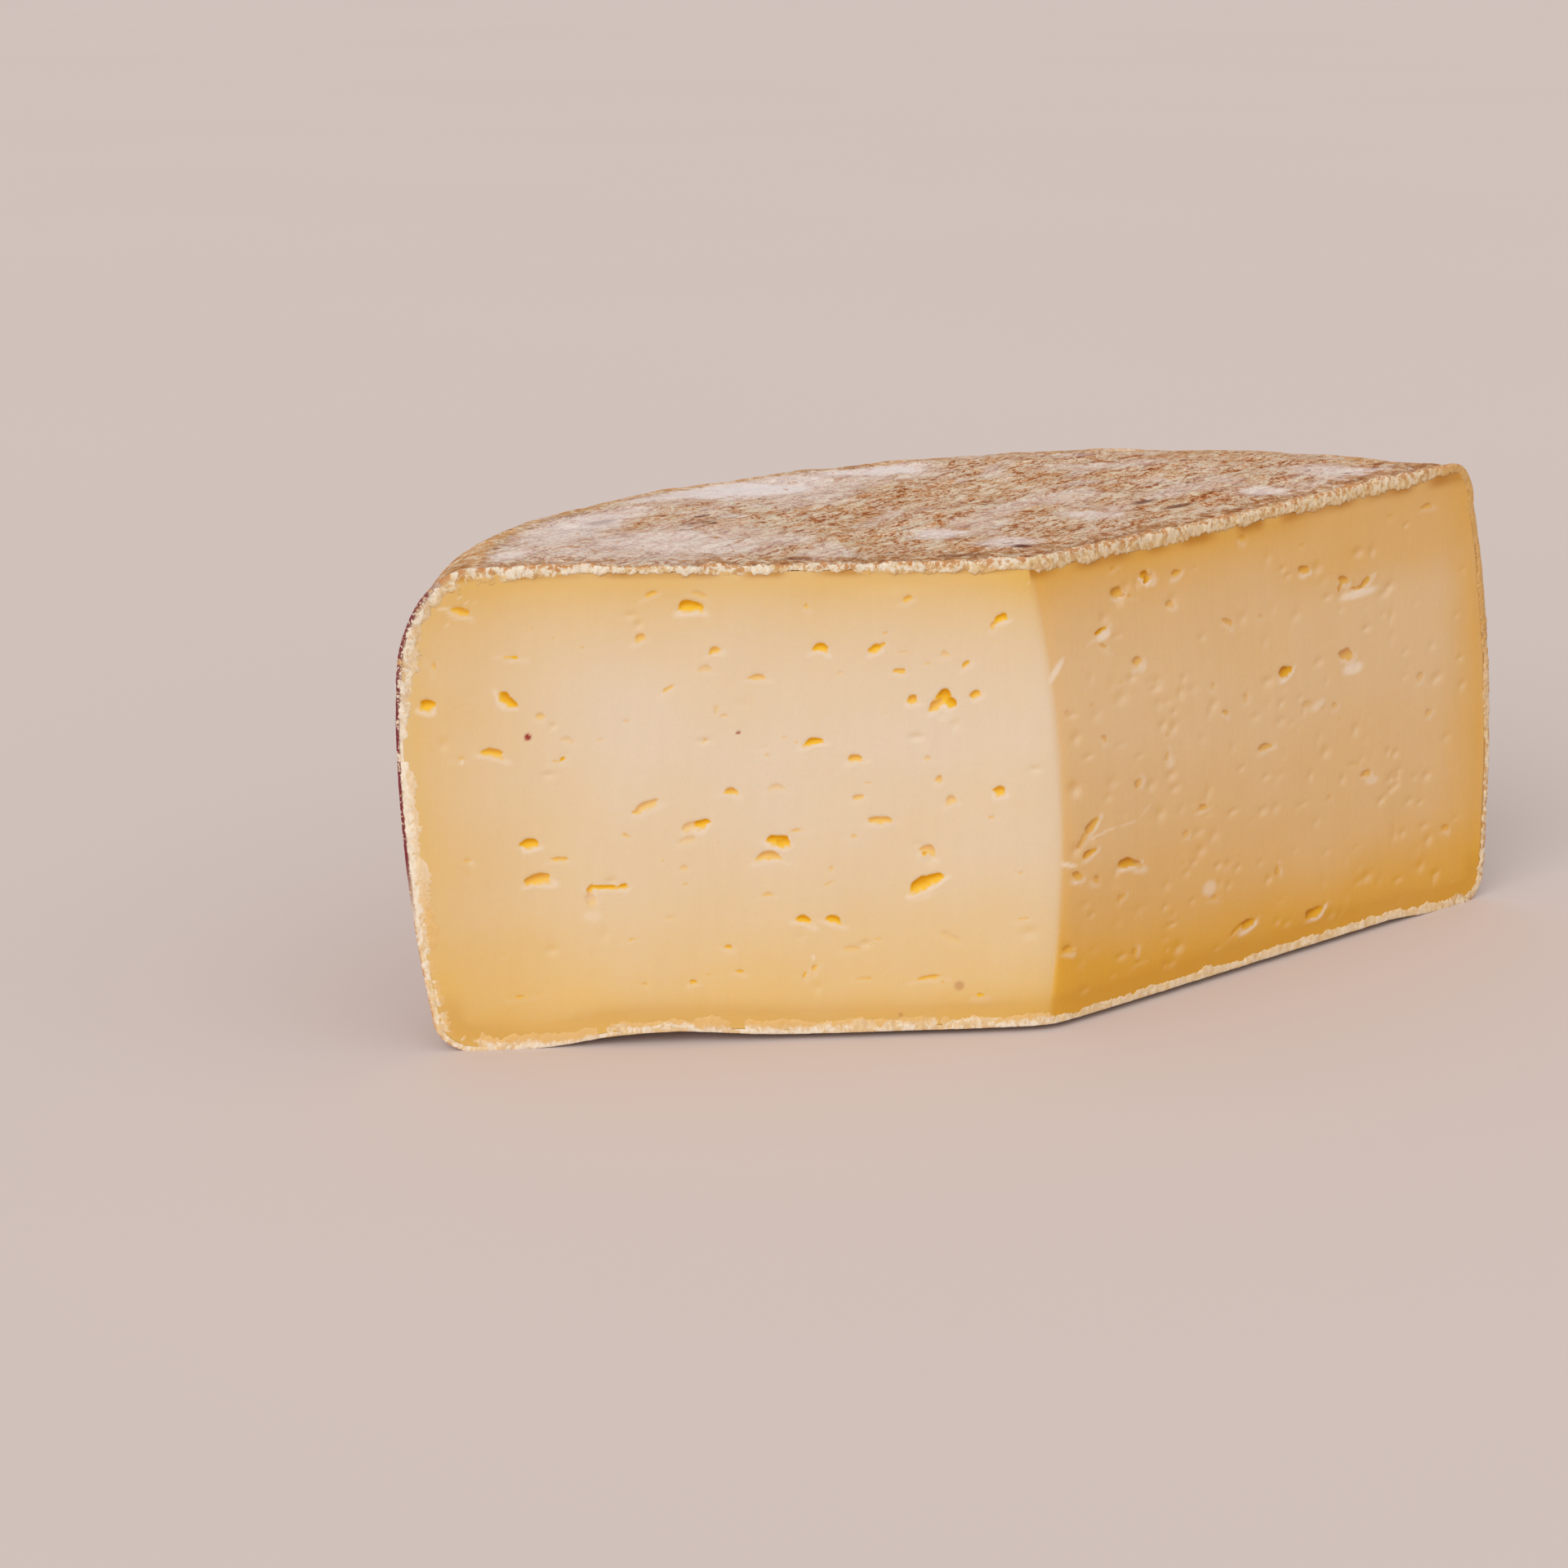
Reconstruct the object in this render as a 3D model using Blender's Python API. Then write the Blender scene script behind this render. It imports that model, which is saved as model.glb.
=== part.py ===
"""A cut wedge of tomme de savoie, a low mountain cheese with a natural rind, in metres with +Z up.

The wedge is about a third of a wheel 190 mm across and 66 mm high. It stands on the foot of the wheel's
rim, which touches the table at z = 0. The left cut is a flat face towards -Y, the right cut turns away
from it behind the cut edge, and the rim runs round the back. The origin is under the middle of the
wedge's box.

Sizes are in millimetres until the mesh is written. They are measured from the lower end of the cut
edge: X runs along the left cut, away from it, and Y runs into the cheese.
"""

import math

import bmesh
import bpy
import numpy as np

NODE = "tomme_wedge"
METRES = 0.001

# The wheel and its two cuts.
CUT_ANGLE = 144.0  # degrees between the two cut faces, inside the cheese
WHEEL_CENTRE = np.array([7.3, -15.0])
RIM_START, RIM_END = 45.8, 170.8  # degrees round the wheel at which the right and left cuts meet the rim
LEFT_RADIUS = 93.7  # at the belly, where the left cut meets the rim
RIGHT_RADIUS = 95.3  # at the belly, where the right cut meets the rim

# Height of the top: the rim stands a little higher than the middle, and the wheel is thicker at the
# back right.
TOP_HEIGHT = 65.6
TOP_RISE = np.array([0.012, 0.017])  # per mm along X and along Y
TOP_DISH, DISH_RADIUS = 1.2, 64.0

# Underside: a flat foot along the rim, and a shallow arch inside it with one higher stretch on the left
# cut.
FOOT_BAND = 6.0  # width of the flat foot
ARCH_LIFT, ARCH_RUN = 0.9, 12.0
HUMP_LIFT, HUMP_WIDTH = 0.9, 10.0
HUMP_PLACE = np.array([-51.0, 0.0])

# Rim profile at the right cut and at the left cut. The stretch between them blends from the first to the
# second.
FOOT_WIDTH = (3.6, 5.5)
FOOT_HEIGHT = (4.5, 5.0)
BELLY_HEIGHT = (9.0, 42.0)  # where the rim stands out furthest
LEAN_BELOW = (0.1, 3.1)  # how far the side draws in from the belly down to the foot
LEAN_ABOVE = (6.6, 0.3)  # how far it draws in from the belly up to the shoulder
SHOULDER_WIDTH = (4.5, 10.0)
SHOULDER_HEIGHT = (6.0, 15.5)
SHOULDER_BLEND = 5.0  # power of the share: the wide shoulder stays close to the left cut
# Where the rim lies outside a true circle: how far, at which share of the way round, how wide.
RIM_SWELL = (
    (-5.0, 0.49, 0.17),
    (2.4, 0.9, 0.08),
)
LEAN_BELOW_POWER, LEAN_ABOVE_POWER = 2.0, 2.4
RIM_BUMP, RIM_BUMP_LENGTH, RIM_BUMP_SEED = 0.4, 17.5, 5
TOP_BUMP, TOP_BUMP_LENGTH, TOP_BUMP_SEED = 0.3, 22.0, 3
BUMP_FADE = 8.0  # bumps fade out over this distance from a cut

# The cut edge leans back to the left at the top and bows to the right in the middle.
EDGE_LEAN, EDGE_BOW = 3.6, 1.9

# Mesh steps.
LEFT_STEPS, RIGHT_STEPS, RIM_STEPS = 20, 20, 46
FOOT_STEPS, SIDE_STEPS, SHOULDER_STEPS = 3, 9, 5
TOP_LOOPS = (0.94, 0.82, 0.64, 0.42, 0.2)
UNDER_LOOPS = (0.93, 0.84, 0.66, 0.36)

# Eyes, the holes in the paste: along the cut from the cut edge, up from the table, width, height, tilt
# in degrees. A positive tilt raises the right end. Smaller eyes than these are surface detail.
LEFT_EYES = (
    (81.0, 47.3, 2.1, 1.4, 0),
    (71.0, 47.6, 2.7, 1.7, -30),
    (70.3, 53.4, 2.1, 0.7, 0),
    (73.3, 40.6, 2.7, 1.1, -8),
    (76.6, 59.4, 2.3, 0.8, -25),
    (68.6, 28.4, 2.4, 1.3, 5),
    (67.8, 23.6, 3.4, 1.5, 22),
    (64.9, 26.1, 1.7, 0.8, 0),
    (58.9, 22.0, 5.2, 0.9, 6),
    (60.6, 20.0, 2.4, 1.2, 55),
    (47.2, 59.1, 3.5, 1.5, 0),
    (38.9, 49.8, 2.1, 0.9, 0),
    (44.2, 53.5, 1.6, 1.1, 25),
    (30.7, 53.7, 1.9, 1.3, 0),
    (23.2, 53.4, 2.5, 1.5, 28),
    (31.4, 41.0, 2.4, 1.2, 5),
    (26.2, 38.6, 1.9, 1.2, 0),
    (18.6, 46.3, 1.5, 1.5, 0),
    (14.7, 46.0, 3.5, 2.9, 20),
    (10.4, 46.8, 1.6, 1.1, 25),
    (7.1, 56.6, 2.5, 1.2, 25),
    (7.1, 33.7, 1.6, 1.1, 0),
    (42.3, 34.7, 1.9, 1.0, 0),
    (53.5, 32.9, 3.6, 1.5, 22),
    (47.0, 30.2, 3.8, 1.5, 20),
    (48.7, 28.3, 2.2, 0.9, 0),
    (36.0, 27.8, 3.0, 1.8, 10),
    (37.4, 25.5, 3.3, 1.2, 8),
    (22.8, 30.1, 2.7, 0.9, -5),
    (16.2, 25.5, 2.2, 1.0, 0),
    (16.5, 21.5, 5.0, 2.1, 22),
    (32.9, 16.7, 2.2, 1.0, 0),
    (29.0, 16.7, 2.2, 1.0, 0),
)
RIGHT_EYES = (
    (16.7, 59.9, 1.6, 1.8, 60),
    (22.4, 59.8, 1.8, 1.0, 0),
    (11.8, 58.5, 2.4, 1.5, 0),
    (8.5, 53.7, 2.4, 0.9, -15),
    (48.0, 56.6, 2.4, 1.2, -10),
    (56.2, 53.5, 2.7, 1.1, 0),
    (61.0, 52.5, 2.7, 1.4, 0),
    (15.3, 48.6, 1.6, 1.6, 0),
    (44.5, 42.6, 2.6, 1.9, 0),
    (57.7, 42.7, 3.0, 1.8, 0),
    (40.2, 32.6, 2.8, 1.1, 0),
    (20.9, 34.4, 2.1, 1.2, 0),
    (62.6, 24.4, 2.2, 1.5, 0),
    (13.5, 21.1, 4.2, 1.4, 0),
    (37.5, 7.1, 3.5, 1.2, 25),
    (52.5, 5.6, 3.3, 1.8, 10),
    (24.7, 23.0, 1.8, 1.1, 0),
    (5.6, 24.0, 1.7, 1.2, 35),
)
EYE_DEPTH = 0.75  # of the mean of its width and height
EYE_LUMPS, EYE_LUMP_LENGTH = 0.16, 1.6  # share of its size, and length for a ball of radius 1
LARGE_EYE = 3.1  # eyes at least this wide get a finer mesh
EYE_SEED = 7


def unit(degrees):
    """The direction at an angle from +X, in plan."""
    return np.array([math.cos(math.radians(degrees)), math.sin(math.radians(degrees))])


LEFT_WAY, LEFT_NORMAL = unit(180.0), unit(90.0)
RIGHT_WAY, RIGHT_NORMAL = unit(180.0 - CUT_ANGLE), unit(270.0 - CUT_ANGLE)


def mix(ends, share):
    """From the first value at share 0, the right cut, to the second at share 1, the left cut."""
    return ends[0] + (ends[1] - ends[0]) * share


def ease(x):
    """0 below 0, 1 above 1, and a smooth step between them."""
    x = np.clip(x, 0.0, 1.0)
    return x * x * (3.0 - 2.0 * x)


def waves(points, length, seed, count=7):
    """Smooth bumps between about -1 and 1: sine waves of nearly one length, in seeded directions."""
    draw = np.random.default_rng(seed)
    ways = draw.normal(size=(count, points.shape[-1]))
    pace = 2.0 * math.pi / length * draw.uniform(0.6, 1.5, (count, 1))
    ways *= pace / np.linalg.norm(ways, axis=1)[:, None]
    return np.sin(points @ ways.T + draw.uniform(0.0, 2.0 * math.pi, count)).mean(axis=-1) * 1.6


def top_height(plan):
    """Height of the top: a plane that rises to the back right, dished round the cut edge."""
    far = np.linalg.norm(plan, axis=-1) / DISH_RADIUS
    dish = TOP_DISH * np.clip(1.0 - far * far, 0.0, 1.0)
    bump = TOP_BUMP * waves(plan, TOP_BUMP_LENGTH, TOP_BUMP_SEED) * cut_fade(plan)
    return TOP_HEIGHT + plan @ TOP_RISE - dish + bump


def under_height(plan):
    """Height of the underside: 0 on the foot, then an arch, with a hump by the left cut."""
    share = round_share(plan)
    foot_edge = mix((RIGHT_RADIUS, LEFT_RADIUS), share) - mix(FOOT_WIDTH, share) - mix(LEAN_BELOW, share)
    inside = foot_edge + swell(share) - np.linalg.norm(plan - WHEEL_CENTRE, axis=-1)
    lift = ease((inside - FOOT_BAND) / ARCH_RUN)
    hump = np.exp(-(((plan - HUMP_PLACE) / HUMP_WIDTH) ** 2).sum(axis=-1))
    return lift * (ARCH_LIFT + HUMP_LIFT * hump)


def round_share(plan):
    """Share of the way round the rim, from the wheel's centre: 0 at the right cut and 1 at the left."""
    out = plan - WHEEL_CENTRE
    angle = np.degrees(np.arctan2(out[..., 1], out[..., 0]))
    return np.clip((angle - RIM_START) / (RIM_END - RIM_START), 0.0, 1.0)


def swell(share):
    """How far the rim lies outside a true circle: a bell for each stretch, held to 0 at the two cuts."""
    bells = sum(out * np.exp(-(((share - place) / width) ** 2)) for out, place, width in RIM_SWELL)
    return bells * np.sqrt(np.clip(np.sin(math.pi * share), 0.0, 1.0))


def cut_fade(plan):
    """0 on both cuts, rising to 1 at BUMP_FADE inside them."""
    left = plan[..., 1]
    right = RIGHT_WAY[0] * plan[..., 1] - RIGHT_WAY[1] * plan[..., 0]
    return ease(np.minimum(left, right) / BUMP_FADE)


def profile(steps, share):
    """The rim's profile at a share of the way round: (inset, height share), from the foot to the top.

    The foot and the shoulder are quarters of an ellipse. Between them the side draws in from the belly by
    a power of the distance from it.
    """
    rise = TOP_HEIGHT
    near_left = share**SHOULDER_BLEND
    foot_turn = np.linspace(0.0, math.pi / 2, steps[0] + 1)
    top_turn = np.linspace(0.0, math.pi / 2, steps[2] + 1)
    foot, shoulder = mix(FOOT_HEIGHT, share), rise - mix(SHOULDER_HEIGHT, near_left)
    side = np.linspace(foot, shoulder, steps[1] + 1)[1:-1]
    low_turn, high_turn = foot * (1 - np.cos(foot_turn)), shoulder + (rise - shoulder) * np.sin(top_turn)
    z = np.concatenate([low_turn, side, high_turn])
    belly = mix(BELLY_HEIGHT, share)
    low = np.clip((belly - z) / (belly - foot), 0.0, 1.0) ** LEAN_BELOW_POWER
    high = np.clip((z - belly) / (shoulder - belly), 0.0, 1.0) ** LEAN_ABOVE_POWER
    inset = mix(LEAN_BELOW, share) * low + mix(LEAN_ABOVE, share) * high
    inset[: steps[0] + 1] += mix(FOOT_WIDTH, share) * (1 - np.sin(foot_turn))
    inset[-steps[2] - 1 :] += mix(SHOULDER_WIDTH, near_left) * (1 - np.cos(top_turn))
    return inset - swell(share), z / rise


def reach(way, radius):
    """How far along a cut the wheel's circle of this radius lies from the cut edge."""
    along = way @ WHEEL_CENTRE
    return along + np.sqrt(radius**2 - WHEEL_CENTRE @ WHEEL_CENTRE + along**2)


def edge_place(height_share):
    """Plan position of the cut edge: on the left cut, leaning by a square and bowed by half a sine."""
    shift = EDGE_LEAN * height_share**2 - EDGE_BOW * np.sin(math.pi * height_share)
    return shift[..., None] * LEFT_WAY


def rings():
    """Closed rings round the wedge, foot to top: the left cut, the right cut, then back round the rim."""
    steps = (FOOT_STEPS, SIDE_STEPS, SHOULDER_STEPS)
    shares = np.linspace(0.0, 1.0, RIM_STEPS + 1)
    inset, height = (np.array(part).T for part in zip(*(profile(steps, share) for share in shares)))
    radius = mix((RIGHT_RADIUS, LEFT_RADIUS), shares) - inset
    right = reach(RIGHT_WAY, radius[:, 0])[:, None] * RIGHT_WAY
    left = reach(LEFT_WAY, radius[:, -1])[:, None] * LEFT_WAY
    start, end = (np.arctan2(*(corner - WHEEL_CENTRE).T[::-1]) for corner in (right, left))
    turn = start[:, None] + (end - start)[:, None] * shares
    rim = WHEEL_CENTRE + radius[..., None] * np.stack([np.cos(turn), np.sin(turn)], axis=-1)

    evenly = np.linspace(0.0, 1.0, height.shape[0])
    edge = edge_place(evenly)
    from_left = np.linspace(0.0, 1.0, LEFT_STEPS + 1)[:-1]
    from_edge = np.linspace(0.0, 1.0, RIGHT_STEPS + 1)[:-1]
    left_cut = left[:, None] + (edge - left)[:, None] * from_left[:, None]
    right_cut = edge[:, None] + (right - edge)[:, None] * from_edge[:, None]
    left_height = height[:, -1:] + (evenly[:, None] - height[:, -1:]) * from_left
    right_height = evenly[:, None] + (height[:, :1] - evenly[:, None]) * from_edge

    plan = np.concatenate([left_cut, right_cut, rim[:, :-1]], axis=1)
    share = np.concatenate([left_height, right_height, height[:, :-1]], axis=1)
    low, high = under_height(plan), top_height(plan)
    points = np.concatenate([plan, (low + (high - low) * share)[..., None]], axis=-1)
    outward = plan - WHEEL_CENTRE
    outward /= np.linalg.norm(outward, axis=-1, keepdims=True)
    upright = np.sqrt(np.clip(np.sin(math.pi * share), 0.0, 1.0))
    bump = RIM_BUMP * waves(points, RIM_BUMP_LENGTH, RIM_BUMP_SEED) * cut_fade(plan) * upright
    points[..., :2] += outward * bump[..., None]
    return points


def cap(loop, scales, height_of):
    """Loops inside a ring, drawn in towards its middle, then the middle itself."""
    middle = loop[:, :2].mean(axis=0)
    plans = [middle + (loop[:, :2] - middle) * scale for scale in scales] + [middle[None]]
    return [np.column_stack([plan, height_of(plan)]) for plan in plans]


def band_faces(first, second, count):
    """Quads between two rings, given by the number of their first point."""
    here = np.arange(count)
    there = (here + 1) % count
    return np.column_stack([first + here, first + there, second + there, second + here]).tolist()


def wedge_mesh():
    """The whole wedge as one closed mesh: the rings, with a cap of loops above and below."""
    around = rings()
    count = around.shape[1]
    under = cap(around[0], UNDER_LOOPS, under_height)
    over = cap(around[-1], TOP_LOOPS, top_height)
    loops = under[-2::-1] + list(around) + over[:-1]
    points = np.concatenate([*loops, under[-1], over[-1]])
    faces = [face for k in range(len(loops) - 1) for face in band_faces(k * count, (k + 1) * count, count)]
    bottom, top, last = len(loops) * count, len(loops) * count + 1, (len(loops) - 1) * count
    for here in range(count):
        there = (here + 1) % count
        faces.append((there, here, bottom))
        faces.append((last + here, last + there, top))
    return points, faces


def ball_mesh(fineness):
    """A unit ball of nearly equal triangles, centred on the origin: (points, faces)."""
    shape = bmesh.new()
    bmesh.ops.create_icosphere(shape, subdivisions=fineness, radius=1.0)
    points = np.array([vertex.co[:] for vertex in shape.verts])
    faces = [[vertex.index for vertex in face.verts] for face in shape.faces]
    shape.free()
    return points, faces


def eye_shape(eye, along, inwards, seed):
    """A lumpy flattened ball centred on a cut face, with the eye's width, height, depth and tilt."""
    distance, up, width, height, tilt = eye
    points, faces = ball_mesh(3 if width >= LARGE_EYE else 2)
    depth = EYE_DEPTH * (width + height) / 2
    half_sizes = np.array([width / 2, height / 2, depth])
    body = points * half_sizes * (1.0 + EYE_LUMPS * waves(points, EYE_LUMP_LENGTH, seed))[:, None]
    turn = math.radians(tilt)
    across = body[:, 0] * math.cos(turn) - body[:, 1] * math.sin(turn)
    above = body[:, 0] * math.sin(turn) + body[:, 1] * math.cos(turn)
    place = np.array([*(along * distance), up])
    to_right = np.array([inwards[1], -inwards[0], 0.0])
    world = place + across[:, None] * to_right + above[:, None] * np.array([0.0, 0.0, 1.0])
    return world - body[:, 2:] * np.array([*inwards, 0.0]), faces


def right_cut_bow(distance, up):
    """How far the right cut stands inside its flat plane: the cut edge's shift, fading to the rim."""
    shift = edge_place(np.array(up / TOP_HEIGHT)) @ RIGHT_NORMAL
    return shift * (1.0 - distance / reach(RIGHT_WAY, RIGHT_RADIUS))


def eye_cutters():
    """One cutter for each eye, in a collection of their own."""
    cutters = bpy.data.collections.new("eye_cutters")
    bpy.context.scene.collection.children.link(cutters)
    rows = [(eye, LEFT_WAY, LEFT_NORMAL, 0.0) for eye in LEFT_EYES]
    rows += [(eye, RIGHT_WAY, RIGHT_NORMAL, right_cut_bow(eye[0], eye[1])) for eye in RIGHT_EYES]
    for number, (eye, along, inwards, bow) in enumerate(rows):
        points, faces = eye_shape(eye, along, inwards, EYE_SEED + number)
        points[:, :2] += inwards * bow
        cutter = new_object(f"eye_cutter_{number:02d}", points, faces, cutters)
        cutter.hide_render = True
        cutter.display_type = "WIRE"
    return cutters


def new_object(name, points, faces, collection):
    """A mesh object from points in millimetres from the cut edge, shifted to the part's own origin."""
    mesh = bpy.data.meshes.new(name)
    mesh.from_pydata((points * METRES).tolist(), [], [list(face) for face in faces])
    mesh.update()
    made = bpy.data.objects.new(name, mesh)
    collection.objects.link(made)
    return made


def paste_material():
    """Pale yellow paste, the colour of most of what is seen; the rind is the finish of the real surface."""
    material = bpy.data.materials.new("cheese_paste")
    material.use_nodes = True
    shader = material.node_tree.nodes["Principled BSDF"]
    shader.inputs["Base Color"].default_value = (0.83, 0.62, 0.33, 1.0)
    shader.inputs["Roughness"].default_value = 0.5
    shader.inputs["Metallic"].default_value = 0.0
    return material


def main():
    for old in list(bpy.data.objects):
        bpy.data.objects.remove(old)
    points, faces = wedge_mesh()
    low, high = points.min(axis=0), points.max(axis=0)
    middle = np.array([*(low + high)[:2] / 2, 0.0])
    wedge = new_object(NODE, points - middle, faces, bpy.context.scene.collection)
    wedge.data.materials.append(paste_material())
    cutters = eye_cutters()
    for cutter in cutters.objects:
        cutter.location = -middle * METRES
    cut = wedge.modifiers.new("eyes", "BOOLEAN")
    cut.operation = "DIFFERENCE"
    cut.solver = "EXACT"
    cut.operand_type = "COLLECTION"
    cut.collection = cutters


main()
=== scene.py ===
"""Looks of a cut wedge of tomme de savoie: the paste with its eyes, the mottled rind and its crumbled rim.

Shapes are worked out in millimetres from the foot of the cut edge, with the left cut along -X and Y into the
cheese, and are then moved to the part's frame. The outer form repeats the solid's: a sector of a wheel whose
rim profile blends from the right cut, at share 0 of the way round, to the left cut, at share 1.
"""

import math
from typing import NamedTuple

import bpy
import numpy as np
from mathutils import Matrix, Vector


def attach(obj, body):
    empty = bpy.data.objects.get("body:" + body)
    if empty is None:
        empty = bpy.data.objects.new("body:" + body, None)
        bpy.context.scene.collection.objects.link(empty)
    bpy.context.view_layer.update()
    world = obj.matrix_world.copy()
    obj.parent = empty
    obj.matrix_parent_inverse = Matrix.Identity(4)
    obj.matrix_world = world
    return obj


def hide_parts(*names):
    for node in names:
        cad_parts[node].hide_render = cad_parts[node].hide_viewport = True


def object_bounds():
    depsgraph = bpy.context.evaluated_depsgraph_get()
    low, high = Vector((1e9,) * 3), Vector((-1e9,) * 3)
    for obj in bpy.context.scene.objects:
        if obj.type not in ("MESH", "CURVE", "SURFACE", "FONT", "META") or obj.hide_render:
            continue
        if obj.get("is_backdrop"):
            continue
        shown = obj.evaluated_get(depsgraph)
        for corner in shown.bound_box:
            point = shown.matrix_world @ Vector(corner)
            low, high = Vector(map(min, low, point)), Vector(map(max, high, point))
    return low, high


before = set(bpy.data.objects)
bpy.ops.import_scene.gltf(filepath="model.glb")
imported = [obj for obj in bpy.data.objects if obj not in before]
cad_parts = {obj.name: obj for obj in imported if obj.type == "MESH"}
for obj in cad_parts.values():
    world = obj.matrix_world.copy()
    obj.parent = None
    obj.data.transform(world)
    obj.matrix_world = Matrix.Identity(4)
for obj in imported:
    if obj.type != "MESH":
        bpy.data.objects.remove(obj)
CAD_LOW, CAD_HIGH = (np.array(corner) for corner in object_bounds())

MM = 0.001
NODE = "tomme_wedge"

# ---- Sizes of the wedge, in millimetres. A pair holds the right cut's value, then the left's.
CUT_ANGLE = 144.0  # degrees between the two cuts, inside the cheese
WHEEL_CENTRE = np.array([7.3, -15.0])
RIM_START, RIM_END = 45.8, 170.8  # degrees round the wheel at which the right and left cuts meet the rim
RADIUS = (95.3, 93.7)  # at the belly
TOP_HEIGHT = 65.6
TOP_RISE = np.array([0.012, 0.017])  # per mm along X and along Y
TOP_DISH, DISH_RADIUS = 1.2, 64.0
FOOT_BAND = 6.0
ARCH_LIFT, ARCH_RUN = 0.9, 12.0
HUMP_LIFT, HUMP_WIDTH = 0.9, 10.0
HUMP_PLACE = np.array([-51.0, 0.0])
FOOT_WIDTH, FOOT_HEIGHT = (3.6, 5.5), (4.5, 5.0)
BELLY_HEIGHT = (9.0, 42.0)
LEAN_BELOW, LEAN_ABOVE = (0.1, 3.1), (6.6, 0.3)
LEAN_BELOW_POWER, LEAN_ABOVE_POWER = 2.0, 2.4
SHOULDER_WIDTH, SHOULDER_HEIGHT, SHOULDER_BLEND = (4.5, 10.0), (6.0, 15.5), 5.0
FOOT_PART, SHOULDER_PART = 0.09, 0.2  # shares of the rim profile's steps that go to the foot and the shoulder
RIM_SWELL = ((-5.0, 0.49, 0.17), (2.4, 0.9, 0.08))  # how far out, at which share of the way round, how wide
RIM_BUMP, RIM_BUMP_LENGTH, RIM_BUMP_SEED = 0.4, 17.5, 5
TOP_BUMP, TOP_BUMP_LENGTH, TOP_BUMP_SEED = 0.3, 22.0, 3
BUMP_FADE = 8.0
EDGE_LEAN, EDGE_BOW, EDGE_ROUND = 3.6, 1.9, 2.4
RIND = 2.3  # thickness of the rind
TUCK = 0.6  # how far the paste stays inside the wedge's skin

FINE = 1.0  # share of the full number of mesh steps
TINY = 1e-4


def unit(degrees):
    """The direction at an angle from +X, in plan."""
    return np.array([math.cos(math.radians(degrees)), math.sin(math.radians(degrees))])


# From the cut edge to the rim, and into the cheese.
LEFT_WAY, LEFT_NORMAL = unit(180.0), unit(90.0)
RIGHT_WAY, RIGHT_NORMAL = unit(180.0 - CUT_ANGLE), unit(270.0 - CUT_ANGLE)


def steps(count):
    return max(4, int(count * FINE))


def mix(ends, share):
    """From the first value at share 0 to the second at share 1."""
    return ends[0] + (ends[1] - ends[0]) * share


def ease(x):
    """0 below 0, 1 above 1, and a smooth step between them."""
    x = np.clip(x, 0.0, 1.0)
    return x * x * (3.0 - 2.0 * x)


def ramp(x, start, end):
    """0 up to the start, 1 beyond the end, and a smooth step between them."""
    return ease((x - start) / (end - start))


def bell(x, width=1.0):
    """1 at 0, and to both sides e to the minus square of the distance in widths."""
    return np.exp(-((x / width) ** 2))


def fall(x, width):
    """1 up to 0, and beyond it e to the minus distance in widths."""
    return np.exp(-np.clip(x, 0.0, None) / width)


def normalised(vectors):
    """Vectors of length 1 in the same directions."""
    return vectors / np.maximum(np.linalg.norm(vectors, axis=-1, keepdims=True), TINY**2)


# ---- Bumps and noise
def waves(points, length, seed, count=7):
    """Smooth bumps between about -1 and 1: a sum of sine waves of nearly one length, in seeded directions."""
    draw = np.random.default_rng(seed)
    ways = normalised(draw.normal(size=(count, points.shape[-1])))
    ways *= 2.0 * math.pi / length * draw.uniform(0.6, 1.5, (count, 1))
    return np.sin(points @ ways.T + draw.uniform(0.0, 2.0 * math.pi, count)).mean(axis=-1) * 1.6


def hashed(cell, seed):
    """A random number from 0 to 1 for each cell: its whole coordinates times large odd numbers, scrambled."""
    primes = np.array([0x9E3779B1, 0x85EBCA77, 0xC2B2AE3D], np.uint64)[: cell.shape[-1]]
    word = (cell.astype(np.int64).astype(np.uint64) * primes).sum(axis=-1) + np.uint64(seed * 7919 + 1)
    for shift, factor in ((15, 0x2C1B3C6D), (12, 0x297A2D39), (15, 0x165667B1)):
        word = (word ^ (word >> np.uint64(shift))) * np.uint64(factor) & np.uint64(0xFFFFFFFF)
    return word.astype(float) / 0xFFFFFFFF


def cell_noise(points, length, seed):
    """Value noise from -1 to 1: random numbers on a lattice of this length, blended between its corners."""
    place = points / length
    base = np.floor(place)
    share = ease(place - base)
    total = 0.0
    for corner in np.ndindex(*(2,) * points.shape[-1]):
        weight = np.prod(np.where(np.array(corner) == 1, share, 1.0 - share), axis=-1)
        total = total + weight * hashed(base + np.array(corner), seed)
    return total * 2.0 - 1.0


def rough(points, length, seed, layers=3, weaker=0.55):
    """Layers of value noise, each half the length of the one before and this much weaker."""
    parts = [weaker**k * cell_noise(points, length / 2**k, seed + 31 * k) for k in range(layers)]
    return sum(parts) / sum(weaker**k for k in range(layers))


# ---- The wedge's outer form
def inside_cuts(points):
    """How far points lie behind the left and the right cut."""
    return points[..., 1], points[..., :2] @ RIGHT_NORMAL


def cut_fade(plan):
    """0 on both cuts, rising to 1 at BUMP_FADE inside them."""
    return ease(np.minimum(*inside_cuts(plan)) / BUMP_FADE)


def swell(share):
    """How far the rim lies outside a true circle: a bell for each stretch, held to 0 at the two cuts."""
    bells = sum(out * bell(share - place, width) for out, place, width in RIM_SWELL)
    return bells * np.sqrt(np.clip(np.sin(math.pi * share), 0.0, 1.0))


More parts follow.
